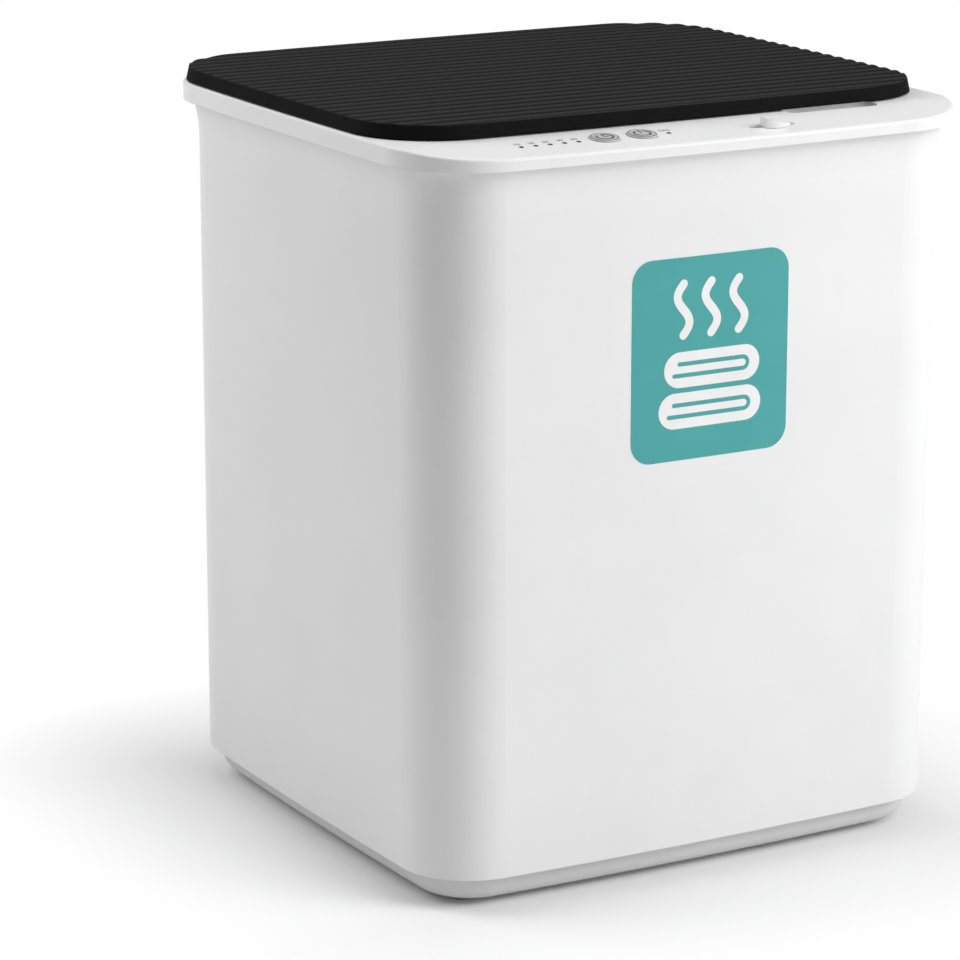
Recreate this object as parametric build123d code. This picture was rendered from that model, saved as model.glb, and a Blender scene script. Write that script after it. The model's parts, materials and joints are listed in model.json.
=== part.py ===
from build123d import *
from math import asin, atan, cos, degrees, radians, sin, tan
import os

os.makedirs("parts", exist_ok=True)

# A bucket towel warmer: a tall white housing, an aluminium bucket hung inside it, and a black
# ribbed lid hinged at the rear. The front looks along -Y, +Z is up, and the feet stand on z = 0
# around the origin. All sizes are in millimetres.

# Overall sizes
body_width = 316.0
body_depth = 301.0
body_corner = 40.0
side_bow = 2.4
front_bow = 4.2
deck_top = 392.0
deck_height = 10.0
rim_overhang = 8.0
foot_height = 2.6
base_height = 14.9

# Walls and clearances
shell_wall = 2.5
deck_wall = 2.5
base_wall = 3.0
lid_wall = 2.4
liner_wall = 1.8
fit_gap = 0.3
close_gap = 0.15
shaft_gap = 0.05
screw_gap = 0.3
weld = 1.0
cut_over = 1.0

# Housing
flare_height = 20.0
flare_reach = 3.2
lip_thickness = 2.5
ledge_thickness = 2.0
base_inset = 7.0
base_edge = 10.0
base_inner_edge = 5.0
base_lip_wall = 1.3
base_lip_height = 3.0
base_lip_gap = 0.2
support_rib = 1.5
support_rib_inset = 1.5
recess_wall = 2.0
recess_gap = 0.5
bucket_hole_gap = 1.0

# Sloped control strip
strip_depth = 38.5
strip_angle = 5.8
strip_blend = 4.0
rim_edge = 1.6
button_row = -17.4
light_row = -18.6

# Buttons, lights and board
button_diameter = 15.3
button_proud = 1.0
button_edge = 0.4
button_ring_share = 0.4
button_ring_width = 0.5
button_ring_depth = 0.2
button_post_side = 4.6
button_travel = 0.8
button_flange_reach = 1.5
button_flange_thickness = 1.2
timer_x = -56.1
power_x = -34.4
first_light_x = -104.2
light_pitch = 8.15
timer_light_count = 5
power_light_x = -19.4
light_diameter = 2.0
light_proud = 0.2
light_package = 3.4
light_seat_gap = 0.1
board_depth = 9.5
board_thickness = 1.6
board_left = -116.0
board_right = -6.0
board_back = -8.0
board_front = -28.0
switch_side = 6.0
switch_height = 3.5
plunger_diameter = 3.2
plunger_proud = 1.0
plunger_sunk = 1.0
board_boss_side = 5.4
board_screw_inset = 3.5

# Bucket and what wraps it
bucket_side_room = 27.0
bucket_front_room = 51.5
bucket_rear_room = 15.5
bucket_corner = 42.0
bucket_floor = 60.0
bucket_wall = 1.0
bucket_bottom_edge = 12.0
flange_reach = 9.0
flange_thickness = 1.2
flange_drop = 5.0
heater_thickness = 0.6
heater_bottom = 90.0
heater_top_drop = 67.0
insulation_thickness = 6.0
insulation_bottom = 74.0
insulation_top_drop = 11.0
sensor_window_width = 90.0
sensor_window_height = 46.0
sensor_window_z = 150.0
thermostat_diameter = 17.0
thermostat_height = 10.0
thermostat_ear_reach = 4.2
thermostat_ear_half = 4.0
thermostat_ear_thickness = 1.2
fuse_diameter = 5.0
fuse_length = 16.0

# Lid
lid_side_inset = 1.0
lid_rear_inset = 3.5
lid_corner = 47.0
lid_bow = 3.2
lid_lift = 0.8
lid_height = 7.2
lid_draft = 1.6
rib_pitch = 10.9
rib_depth = 0.7
rib_crest_share = 0.78
rib_margin = 4.0
plug_gap = 4.0
plug_depth = 11.0
liner_recess = 1.0
plug_edge = 3.0
gasket_width = 4.0
gasket_inset = 2.0
gasket_gap = 0.2
lid_boss_side = 7.6
lid_boss_bite = 0.8
lid_skin_wall = 2.2

# Hinge
hinge_inset = 1.2
hinge_rise = 2.2
hinge_x = 70.0
knuckle_radius = 3.2
lid_knuckle_length = 16.0
deck_knuckle_length = 7.0
knuckle_side_gap = 0.4
knuckle_round_gap = 0.4
pin_radius = 1.5
hinge_web_half = 2.4
lid_web_reach = 5.0
hinge_room = 1.0

# Lock slider
slide_travel = 12.0
channel_left = 22.4
channel_right = 53.3
channel_row = -21.8
channel_width = 5.0
channel_depth = 1.2
knob_left = 33.0
knob_length = 16.5
knob_back_row = -20.9
knob_width = 7.4
knob_height = 5.0
knob_tip_height = 0.5
knob_left_share = 0.8
knob_right_share = 0.45
knob_crest = 1.5
knob_dip = 0.3
neck_length = 6.0
neck_width = 2.0
tongue_thickness = 1.6
tongue_width = 12.0
tongue_reach = 6.8
catch_left = 8.0
catch_stem_width = 4.0
catch_foot_reach = 9.0
catch_thickness = 2.0
catch_back = 6.1
catch_depth = 12.0
catch_foot_height = 2.2
catch_gap = 0.5
catch_hole_gap = 1.2
tongue_end_gap = 0.6
tongue_front_reach = 4.0
tongue_riser_depth = 3.2
catch_tab_side = 4.0
catch_tab_reach = 8.0
catch_slot_gap = 0.2
lock_pilot_depth = 2.0
lock_screw_radius = 0.85
lock_screw_length = 2.6
lock_head_radius = 1.9

# Finger notch
notch_left = 62.2
notch_right = 117.8
notch_reach = 5.0
notch_depth = 7.0
notch_wall = 2.0
notch_back_reach = 6.0
notch_corner = 4.0
notch_floor_edge = 2.0

# Screws, feet and power parts
foot_diameter = 16.0
foot_recess = 1.0
foot_edge = 0.6
foot_side_inset = 32.0
foot_end_inset = 33.5
base_screw_side_inset = 83.0
base_screw_end_inset = 24.5
base_screw_radius = 1.5
base_screw_length = 16.0
screw_head_radius = 3.0
screw_head_height = 2.2
well_height = 14.4
well_wall = 1.5
boss_side = 9.0
boss_height = 32.0
rib_thickness = 2.4
deck_screw_side_inset = 21.0
deck_screw_end_inset = 22.5
lug_radius = 13.0
lug_shift = 4.0
lug_thickness = 4.0
lug_drop = 12.0
deck_boss_side = 7.0
deck_pilot_wall = 3.0
deck_screw_length = 14.0
board_screw_length = 6.0
small_screw_radius = 1.2
small_head_radius = 2.4
small_head_height = 1.4
lid_screw_length = 3.6
lid_screw_side_inset = 17.0
lid_screw_front_inset = 38.0
lid_screw_rear_inset = 37.0
power_board_width = 92.0
power_board_depth = 60.0
power_board_x = -30.0
power_post_height = 8.0
power_post_side = 6.0
relay_width = 19.0
relay_depth = 15.0
relay_height = 15.5
capacitor_shift = 26.6
capacitor_radius = 6.0
capacitor_height = 12.4
terminal_width = 34.0
terminal_depth = 16.0
terminal_height = 14.0
terminal_rear_inset = 46.5
terminal_pitch = 10.6
terminal_hole_radius = 2.4
terminal_hole_depth = 5.0
gland_z = 42.0
gland_seat_width = 13.0
gland_seat_height = 10.0
gland_seat_corner = 3.0
gland_seat_gap = 0.1
gland_edge = 0.8
gland_flange_reach = 2.6
gland_flange_thickness = 2.2
gland_clip_thickness = 3.0
gland_bore_radius = 3.6
vent_count = 5
vent_pitch = 12.0
vent_width = 4.0
vent_length = 40.0
vent_row = 40.0

# Levels and places worked out from the sizes above
base_bottom = foot_height
shell_bottom = base_bottom + base_height
deck_bottom = deck_top - deck_height
ledge_top = shell_bottom + ledge_thickness
lid_bottom = deck_top + lid_lift
lid_top = lid_bottom + lid_height
lid_skin = lid_top - rib_depth - lid_skin_wall
hinge_z = deck_top + hinge_rise
rim_width = body_width + 2 * rim_overhang
rim_depth = body_depth + 2 * rim_overhang
strip_front = strip_depth - rim_depth / 2
lid_width = rim_width - 2 * lid_side_inset
lid_rear = rim_depth / 2 - lid_rear_inset
lid_y = (lid_rear + strip_front) / 2
lid_depth = lid_rear - strip_front
rib_start = strip_front + rib_margin
hinge_y = lid_rear - hinge_inset
bucket_width = body_width - 2 * bucket_side_room
bucket_depth = body_depth - bucket_front_room - bucket_rear_room
bucket_y = (bucket_front_room - bucket_rear_room) / 2
ledge_z = deck_top - flange_drop
bucket_top = ledge_z + flange_thickness
heater_top = ledge_z - heater_top_drop
insulation_top = ledge_z - insulation_top_drop
foot_x = body_width / 2 - foot_side_inset
foot_y = body_depth / 2 - foot_end_inset
base_screw_x = body_width / 2 - base_screw_side_inset
base_screw_y = body_depth / 2 - base_screw_end_inset
deck_screw_x = body_width / 2 - deck_screw_side_inset
deck_screw_y = body_depth / 2 - deck_screw_end_inset
lid_screw_x = lid_width / 2 - lid_screw_side_inset
lid_screw_front = strip_front + lid_screw_front_inset
lid_screw_rear = lid_rear - lid_screw_rear_inset
terminal_y = body_depth / 2 - terminal_rear_inset
plug_bottom = lid_bottom - plug_depth
liner_bottom = lid_bottom + liner_recess
liner_top = liner_bottom + liner_wall
gasket_bottom = bucket_top + gasket_gap
catch_y = strip_front + catch_back
board_top = -board_depth
switch_top = board_top + switch_height
plunger_top = switch_top + plunger_proud
neck_x = knob_left + knob_length / 2
lug_top = deck_bottom - lug_drop + lug_thickness
power_board_bottom = base_bottom + base_wall + power_post_height
strip = Plane(
    origin=(0, strip_front, deck_top),
    x_dir=(1, 0, 0),
    z_dir=(0, -sin(radians(strip_angle)), cos(radians(strip_angle))),
)


# Outlines

def bowed_outline(width, depth, corner, bow_x, bow_y, y_mid=0.0):
    """A rounded rectangle whose four sides bulge outward by the two bows."""
    x = width / 2 - bow_x
    y = depth / 2 - bow_y
    sides = [
        ThreePointArc((-x, -y), (0, -depth / 2), (x, -y)),
        ThreePointArc((x, -y), (width / 2, 0), (x, y)),
        ThreePointArc((x, y), (0, depth / 2), (-x, y)),
        ThreePointArc((-x, y), (-width / 2, 0), (-x, -y)),
    ]
    face = make_face(sides)
    return Pos(0, y_mid) * fillet(face.vertices(), corner)


def body_outline(grow=0.0):
    return bowed_outline(
        body_width + 2 * grow, body_depth + 2 * grow, body_corner + grow, side_bow, front_bow
    )


def lid_outline(grow=0.0):
    return bowed_outline(
        lid_width + 2 * grow, lid_depth + 2 * grow, lid_corner + grow, side_bow, lid_bow, lid_y
    )


def bucket_outline(grow=0.0):
    return bowed_outline(
        bucket_width + 2 * grow,
        bucket_depth + 2 * grow,
        bucket_corner + grow,
        side_bow,
        lid_bow,
        bucket_y,
    )


def slab(face, low, high):
    """The face drawn up from one level to another."""
    return Pos(0, 0, low) * extrude(face, amount=high - low)


def block(x0, x1, y0, y1, z0, z1):
    """A plain box between two corners."""
    return Pos((x0 + x1) / 2, (y0 + y1) / 2, (z0 + z1) / 2) * Box(x1 - x0, y1 - y0, z1 - z0)


def rod(x, y, z0, z1, radius):
    """An upright cylinder."""
    return Pos(x, y, (z0 + z1) / 2) * Cylinder(radius, z1 - z0)


def on_strip(shape, x, row, depth=0.0):
    """Places a shape on the control strip: x across, row down the slope, depth along its normal."""
    return strip * Pos(x, row, depth) * shape


def strip_point(x, row, depth):
    """Where a point of the control strip lies in the part's frame."""
    return strip.from_local_coords(Vector(x, row, depth))


def strip_rod(x, row, low, high, radius):
    return on_strip(Cylinder(radius, high - low), x, row, (low + high) / 2)


def across(radius, x0, x1):
    """A cylinder on the hinge axis."""
    return Pos((x0 + x1) / 2, hinge_y, hinge_z) * Rot(0, 90, 0) * Cylinder(radius, x1 - x0)


def screw(radius, length, head_radius, head_height):
    """A hexagon head screw that points up, with the seat of its head at z = 0."""
    return rod(0, 0, 0, length, radius) + slab(RegularPolygon(head_radius, 6), -head_height, 0)


def group(shapes):
    return Compound(children=[solid for shape in shapes for solid in shape.solids()])


def corners(x, y):
    return [(sx * x, sy * y) for sx in (-1, 1) for sy in (-1, 1)]


def further(value, amount):
    """The value moved away from zero."""
    return value + amount if value > 0 else value - amount


def post(x, y, z0, z1, side):
    """An upright square post."""
    half = side / 2
    return block(x - half, x + half, y - half, y + half, z0, z1)


def under_deck(drop):
    """Everything under the deck's top, lowered by a drop: flat, a soft bend, then the slope."""
    angle = radians(strip_angle)
    top = deck_top - drop
    low = deck_bottom - deck_height * 2
    bend = strip_front + drop * tan(angle / 2)
    flat_end = (bend + strip_blend, top)
    slope_end = (bend - strip_blend * cos(angle), top - strip_blend * sin(angle))
    far = (bend - rim_depth * cos(angle), top - rim_depth * sin(angle))
    profile = make_face(
        [
            Line((rim_depth, top), flat_end),
            TangentArc(flat_end, slope_end, tangent=(-1, 0)),
            Polyline(slope_end, far, (far[0], low), (rim_depth, low), (rim_depth, top)),
        ]
    )
    side = Plane(origin=(-rim_width, 0, 0), x_dir=(0, 1, 0), z_dir=(1, 0, 0))
    return extrude(side * profile, amount=2 * rim_width)


# Housing

def outer_shell():
    path = body_outline().faces()[0].outer_wire()
    start = path @ 0
    outward = (path % 0).cross(Vector(0, 0, 1))
    if outward.dot(start) < 0:
        outward = -outward
    section = Plane(origin=start, x_dir=outward, z_dir=outward.cross(Vector(0, 0, 1)))
    turn = (flare_height**2 + flare_reach**2) / (2 * flare_reach)
    middle = asin(flare_height / turn) / 2
    bulge = turn * (1 - cos(middle))
    rise = turn * sin(middle)
    foot = deck_bottom - flare_height
    lip = rim_overhang - deck_wall - fit_gap
    profile = make_face(
        [
            Polyline((-shell_wall, shell_bottom), (0, shell_bottom), (0, foot)),
            ThreePointArc((0, foot), (bulge, foot + rise), (flare_reach, deck_bottom)),
            Polyline(
                (flare_reach, deck_bottom),
                (lip, deck_bottom),
                (lip, deck_bottom + lip_thickness),
                (flare_reach - shell_wall, deck_bottom + lip_thickness),
                (flare_reach - shell_wall, deck_bottom),
            ),
            ThreePointArc(
                (flare_reach - shell_wall, deck_bottom),
                (bulge - shell_wall, foot + rise),
                (-shell_wall, foot),
            ),
            Line((-shell_wall, foot), (-shell_wall, shell_bottom)),
        ]
    )
    shell = sweep(section * profile, path=path)
    opening = base_inset + base_wall - base_lip_wall - base_lip_gap
    into_wall = body_outline(weld - shell_wall)
    shell += slab(into_wall - body_outline(-opening), shell_bottom, ledge_top)
    room = slab(into_wall, 0, deck_top)
    boss_top = ledge_top + boss_height
    rib_low = shell_bottom + base_lip_height + fit_gap
    for x, y in corners(base_screw_x, base_screw_y):
        wall_y = further(y, base_screw_end_inset)
        rib = block(x - rib_thickness / 2, x + rib_thickness / 2, min(y, wall_y), max(y, wall_y),
                    rib_low, boss_top)
        shell += post(x, y, ledge_top, boss_top, boss_side) + (rib & room)
    for x, y in corners(base_screw_x, base_screw_y):
        shell -= rod(x, y, 0, ledge_top + base_screw_length, base_screw_radius + shaft_gap)
    for x, y in corners(deck_screw_x, deck_screw_y):
        lug = rod(further(x, lug_shift), further(y, lug_shift), lug_top - lug_thickness, lug_top,
                  lug_radius)
        shell += lug & room
        shell -= rod(x, y, lug_top - lug_thickness - cut_over, lug_top + cut_over,
                     small_screw_radius + screw_gap)
    seat = RectangleRounded(gland_seat_width, gland_seat_height, gland_seat_corner)
    behind = rear_plane(body_depth / 2 + cut_over)
    shell -= extrude(behind * seat, amount=-shell_wall - 2 * cut_over)
    return shell


def rear_plane(y):
    """A plane square to the rear wall's middle, at the height of the gland."""
    return Plane(origin=(0, y, gland_z), x_dir=(-1, 0, 0), z_dir=(0, 1, 0))


def base_tray():
    bottom = base_bottom
    floor = bottom + base_wall
    top = shell_bottom
    outer = slab(body_outline(-base_inset), bottom, top)
    outer = fillet(outer.edges().group_by(Axis.Z)[0], base_edge)
    inner = slab(body_outline(-base_inset - base_wall), floor, top + cut_over)
    inner = chamfer(inner.edges().group_by(Axis.Z)[0], base_inner_edge)
    tray = outer - inner
    lip_out = body_outline(-base_inset - base_wall + base_lip_wall)
    lip = lip_out - body_outline(-base_inset - base_wall)
    tray += slab(lip, top - weld, top + base_lip_height)
    well_radius = screw_head_radius + screw_gap
    for x, y in corners(base_screw_x, base_screw_y):
        tray += post(x, y, floor - weld, ledge_top, 2 * (well_radius + well_wall))
    for x, y in corners(base_screw_x, base_screw_y):
        tray -= rod(x, y, 0, bottom + well_height, well_radius)
        tray -= rod(x, y, 0, ledge_top + cut_over, base_screw_radius + screw_gap)
    for x, y in corners(foot_x, foot_y):
        tray -= rod(x, y, 0, bottom + foot_recess, foot_diameter / 2)
    half = (vent_count - 1) / 2
    for side in (-1, 1):
        for i in range(vent_count):
            x = (i - half) * vent_pitch
            y = side * vent_row
            tray -= block(x - vent_width / 2, x + vent_width / 2, y - vent_length / 2,
                          y + vent_length / 2, bottom - cut_over, floor + cut_over)
    for x, y in power_corners():
        tray += post(x, y, floor - weld, power_board_bottom, power_post_side)
        tray -= rod(x, y, floor, power_board_bottom + cut_over, small_screw_radius)
    return tray


def power_corners():
    inset = board_screw_inset
    return [
        (power_board_x + x, y)
        for x, y in corners(power_board_width / 2 - inset, power_board_depth / 2 - inset)
    ]


def power_board():
    low = power_board_bottom
    top = low + board_thickness
    board = slab(Pos(power_board_x, 0) * Rectangle(power_board_width, power_board_depth), low, top)
    for x, y in power_corners():
        board -= rod(x, y, low - cut_over, top + cut_over, small_screw_radius + screw_gap)
    relay = block(power_board_x - relay_width / 2, power_board_x + relay_width / 2,
                  -relay_depth / 2, relay_depth / 2, top, top + relay_height)
    capacitor = rod(power_board_x + capacitor_shift, 0, top, top + capacitor_height,
                    capacitor_radius)
    return board + relay + capacitor


def board_screw_group():
    one = screw(small_screw_radius - shaft_gap, board_screw_length, small_head_radius,
                small_head_height)
    level = power_board_bottom + board_thickness
    power = [Pos(x, y, level) * Rot(180, 0, 0) * one for x, y in power_corners()]
    control = [on_strip(one, x, row, board_top - board_thickness) for x, row in control_corners()]
    return group(power + control)


def rubber_feet():
    feet = []
    for x, y in corners(foot_x, foot_y):
        foot = rod(x, y, 0, base_bottom + foot_recess, foot_diameter / 2)
        feet.append(chamfer(foot.edges().group_by(Axis.Z)[0], foot_edge))
    return group(feet)


def base_screws():
    level = base_bottom + well_height
    one = screw(base_screw_radius, base_screw_length, screw_head_radius, screw_head_height)
    return group([Pos(x, y, level) * one for x, y in corners(base_screw_x, base_screw_y)])


def deck_screws():
    level = deck_bottom - lug_drop
    one = screw(small_screw_radius, deck_screw_length, small_head_radius, small_head_height)
    return group([Pos(x, y, level) * one for x, y in corners(deck_screw_x, deck_screw_y)])


# Top deck

def rim_solid(inset, low, drop):
    """The rim's outline from a level up to the deck's top, cut by the control strip's slope."""
    return slab(body_outline(rim_overhang - inset), low, deck_top + cut_over) & under_deck(drop)


def on_rim_edge(edge):
    """Whether an edge of the deck's block runs round its top."""
    box = edge.bounding_box()
    fall = strip_depth * sin(radians(strip_angle)) + rim_edge
    straight_across = edge.geom_type == GeomType.LINE and box.size.X > rim_width / 2
    return box.min.Z > deck_bottom + rim_edge and box.size.Z < fall and not straight_across


def hinge_spans():
    half = lid_knuckle_length / 2
    gap = knuckle_side_gap
    spans = []
    for x in (-hinge_x, hinge_x):
        spans.append((x - half - gap - deck_knuckle_length, x - half - gap))
        spans.append((x + half + gap, x + half + gap + deck_knuckle_length))
    return spans


def hinge_ends():
    reach = lid_knuckle_length / 2 + knuckle_side_gap + deck_knuckle_length
    return [(x - reach, x + reach) for x in (-hinge_x, hinge_x)]


def lid_knuckle_spans():
    half = lid_knuckle_length / 2
    return [(x - half, x + half) for x in (-hinge_x, hinge_x)]


def control_corners():
    inset = board_screw_inset
    return [
        (x, row)
        for x in (board_left + inset, board_right - inset)
        for row in (board_back - inset, board_front + inset)
    ]


def top_deck():
    outer = rim_solid(0, deck_bottom, 0)
    outer = fillet([e for e in outer.edges() if on_rim_edge(e)], rim_edge)
    deck = outer - rim_solid(deck_wall, deck_bottom - cut_over, deck_wall)
    rib_out = rim_overhang - deck_wall - support_rib_inset
    rib = body_outline(rib_out) - body_outline(rib_out - support_rib)
    deck += slab(rib, deck_bottom + lip_thickness, deck_top) & under_deck(weld)
    recess_reach = bucket_wall + flange_reach + recess_gap
    recess_low = ledge_z - recess_wall
    deck += slab(bucket_outline(recess_reach + recess_wall), recess_low, deck_top - weld)
    deck -= slab(bucket_outline(recess_reach), ledge_z, deck_top + cut_over)
    deck -= slab(bucket_outline(bucket_wall + bucket_hole_gap), recess_low - cut_over,
                 deck_top + cut_over)
    for x, y in corners(deck_screw_x, deck_screw_y):
        deck += post(x, y, lug_top, deck_top, deck_boss_side) & under_deck(weld)
        deck -= rod(x, y, lug_top - cut_over, deck_top - deck_wall - deck_pilot_wall,
                    small_screw_radius + shaft_gap)
    for x, row in control_corners():
        boss_height = -deck_wall + weld - board_top
        boss = Box(board_boss_side, board_boss_side, boss_height)
        deck += on_strip(boss, x, row, board_top + boss_height / 2)
        deck -= strip_rod(x, row, board_top - cut_over, -deck_wall, small_screw_radius)
    for x in (timer_x, power_x):
        deck -= strip_rod(x, button_row, -deck_wall - cut_over, cut_over,
                          button_diameter / 2 + fit_gap)
    for x in light_places():
        deck -= strip_rod(x, light_row, -deck_wall - cut_over, cut_over, light_diameter / 2)
    deck = cut_slider_channel(deck)
    deck = cut_finger_notch(deck)
    deck -= block(catch_left - catch_hole_gap,
                  catch_left + catch_stem_width + catch_foot_reach + catch_hole_gap,
                  catch_y - catch_thickness / 2 - catch_hole_gap,
                  catch_y + catch_thickness / 2 + catch_gap,
                  deck_bottom - cut_over, deck_top + cut_over)
    for x0, x1 in hinge_spans():
        web = block(x0, x1, hinge_y - hinge_web_half, hinge_y + hinge_web_half,
                    deck_top - weld, hinge_z)
        deck += across(knuckle_radius, x0, x1) + web
        deck -= across(pin_radius, x0 - cut_over, x1 + cut_over)
    for x0, x1 in lid_knuckle_spans():
        gap = knuckle_side_gap
        deck -= across(knuckle_radius + knuckle_round_gap, x0 - gap, x1 + gap)
    return deck


def cut_slider_channel(deck):
    """The slider's ramped channel, deeper at its left end, and the slit that its neck runs in."""
    length = channel_right - channel_left
    middle = (channel_left + channel_right) / 2
    pocket = extrude(SlotOverall(length, channel_width), amount=channel_depth * 2)
    ramp = degrees(atan(channel_depth / length))
    deck -= on_strip(Rot(0, ramp, 0) * pocket, middle, channel_row, -channel_depth / 2)
    slit_left = neck_x - neck_length / 2 - slide_travel - fit_gap
    slit_right = neck_x + neck_length / 2 + fit_gap
    slit = Box(slit_right - slit_left, neck_width + 2 * close_gap, 2 * (deck_wall + cut_over))
    deck -= on_strip(slit, (slit_left + slit_right) / 2, channel_row)
    return deck


def cut_finger_notch(deck):
    """The hollow in front of the lid that lets a fingertip under its edge."""
    width = notch_right - notch_left
    middle = (notch_left + notch_right) / 2
    depth = notch_reach + notch_back_reach
    y = strip_front - notch_reach + depth / 2
    floor = deck_top - notch_depth
    cup = block(notch_left - notch_wall, notch_right + notch_wall, y - depth / 2 - notch_wall,
                y + depth / 2 + notch_wall, floor - notch_wall, deck_top)
    deck += cup & under_deck(weld)
    plan = Pos(middle, y) * RectangleRounded(width, depth, notch_corner)
    pocket = slab(plan, floor, deck_top + cut_over)
    pocket = chamfer(pocket.edges().group_by(Axis.Z)[0], notch_floor_edge)
    return deck - pocket


def light_places():
    timer_lights = [first_light_x + i * light_pitch for i in range(timer_light_count)]
    return timer_lights + [power_light_x]


# Buttons and lights

def push_button(x):
    """A round key: cap, retaining flange, post, and a fine ring sunk in its face."""
    flange_top = -deck_wall - fit_gap
    flange_low = flange_top - button_flange_thickness
    radius = button_diameter / 2
    cap = Pos(0, 0, (flange_top + button_proud) / 2) * Cylinder(radius, button_proud - flange_top)
    cap = chamfer(cap.edges().group_by(Axis.Z)[-1], button_edge)
    key = cap + rod(0, 0, flange_low, flange_top, radius + button_flange_reach)
    key += post(0, 0, plunger_top, flange_low, button_post_side)
    ring_radius = button_diameter * button_ring_share
    ring = Circle(ring_radius) - Circle(ring_radius - button_ring_width)
    ring = slab(ring, button_proud - button_ring_depth, button_proud + cut_over)
    return on_strip(key - ring, x, button_row)


def plunger(x):
    return strip_rod(x, button_row, switch_top - plunger_sunk, plunger_top, plunger_diameter / 2)


def tact_switches():
    switches = []
    for x in (timer_x, power_x):
        base = on_strip(Box(switch_side, switch_side, switch_height), x, button_row,
                        board_top + switch_height / 2)
        well = plunger_sunk + button_travel + fit_gap
        base -= strip_rod(x, button_row, switch_top - well, switch_top + cut_over,
                          plunger_diameter / 2 + shaft_gap)
        switches.append(base)
    return group(switches)


def led_lenses():
    """Square light packages on the board, each with a round lens that reaches up through the deck."""
    lenses = []
    top = -deck_wall - light_seat_gap
    for x in light_places():
        lens = strip_rod(x, light_row, top, light_proud, light_diameter / 2 - light_seat_gap)
        package = Box(light_package, light_package, top - board_top)
        lenses.append(lens + on_strip(package, x, light_row, (top + board_top) / 2))
    return group(lenses)


def control_board():
    width = board_right - board_left
    depth = board_back - board_front
    board = on_strip(Box(width, depth, board_thickness), (board_left + board_right) / 2,
                     (board_back + board_front) / 2, board_top - board_thickness / 2)
    for x, row in control_corners():
        board -= strip_rod(x, row, board_top - board_thickness - cut_over, board_top + cut_over,
                           small_screw_radius + screw_gap)
    return board


# Bucket, heater and insulation

def inner_bucket():
    low = bucket_floor
    outer = slab(bucket_outline(bucket_wall), low - bucket_wall, bucket_top)
    outer = fillet(outer.edges().group_by(Axis.Z)[0], bucket_bottom_edge + bucket_wall)
    inner = slab(bucket_outline(), low, bucket_top + cut_over)
    inner = fillet(inner.edges().group_by(Axis.Z)[0], bucket_bottom_edge)
    flange = slab(bucket_outline(bucket_wall + flange_reach), ledge_z, bucket_top)
    return outer + flange - inner


def sensor_window():
    return block(-sensor_window_width / 2, sensor_window_width / 2, -body_depth, bucket_y,
                 sensor_window_z - sensor_window_height / 2,
                 sensor_window_z + sensor_window_height / 2)


def heating_film():
    ring = bucket_outline(bucket_wall + heater_thickness) - bucket_outline(bucket_wall)
    return slab(ring, heater_bottom, heater_top) - sensor_window()


def insulation_sleeve():
    outside = bucket_wall + heater_thickness + insulation_thickness
    sleeve = slab(bucket_outline(outside) - bucket_outline(bucket_wall + heater_thickness),
                  insulation_bottom, insulation_top)
    return sleeve - sensor_window()


def bucket_front():
    return bucket_y - bucket_depth / 2 - bucket_wall


def thermostat():
    front = bucket_front()
    x = sensor_window_width / 4
    can = Pos(x, front - thermostat_height / 2, sensor_window_z) * Rot(90, 0, 0)
    body = can * Cylinder(thermostat_diameter / 2, thermostat_height)
    ear = thermostat_diameter / 2 + thermostat_ear_reach
    ears = block(x - ear, x + ear, front - thermostat_ear_thickness, front,
                 sensor_window_z - thermostat_ear_half, sensor_window_z + thermostat_ear_half)
    return (body + ears) - slab(bucket_outline(bucket_wall), 0, deck_top)


def thermal_fuse():
    radius = fuse_diameter / 2
    x = -sensor_window_width / 4
    tube = Pos(x, bucket_front() - radius, sensor_window_z) * Rot(0, 90, 0)
    fuse = tube * Cylinder(radius, fuse_length)
    return fuse - slab(bucket_outline(bucket_wall), 0, deck_top)


def terminal_block():
    low = base_bottom + base_wall
    body = block(-terminal_width / 2, terminal_width / 2, terminal_y - terminal_depth / 2,
                 terminal_y + terminal_depth / 2, low, low + terminal_height)
    top = low + terminal_height
    for i in (-1, 0, 1):
        body -= rod(i * terminal_pitch, terminal_y, top - terminal_hole_depth, top + cut_over,
                    terminal_hole_radius)
    return body


def cord_gland():
    """The open gland in the rear wall: a flange outside, a neck through the wall, a clip inside."""
    wall_out = body_depth / 2
    wall_in = wall_out - shell_wall - shaft_gap
    reach = 2 * gland_flange_reach
    flange = RectangleRounded(gland_seat_width + reach, gland_seat_height + reach,
                              gland_seat_corner + gland_flange_reach)
    neck = RectangleRounded(gland_seat_width - 2 * gland_seat_gap,
                            gland_seat_height - 2 * gland_seat_gap, gland_seat_corner)
    gland = extrude(rear_plane(wall_out) * flange, amount=gland_flange_thickness)
    gland = chamfer(gland.edges().group_by(Axis.Y)[-1], gland_edge)
    gland += extrude(rear_plane(wall_out) * neck, amount=-shell_wall - shaft_gap)
    gland += extrude(rear_plane(wall_in) * flange, amount=-gland_clip_thickness)
    half = shell_wall + gland_clip_thickness + cut_over
    bore = Pos(0, wall_out, gland_z) * Rot(90, 0, 0) * Cylinder(gland_bore_radius, 2 * half)
    return gland - bore


# Lid

def lid_shape(grow, low, high):
    """The lid's outline with its drafted sides, between two levels."""
    slope = lid_draft / lid_height
    bottom = lid_outline(grow - slope * (low - lid_bottom))
    angle = degrees(atan(slope))
    return Pos(0, 0, low) * extrude(bottom, amount=high - low, taper=angle)


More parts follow.
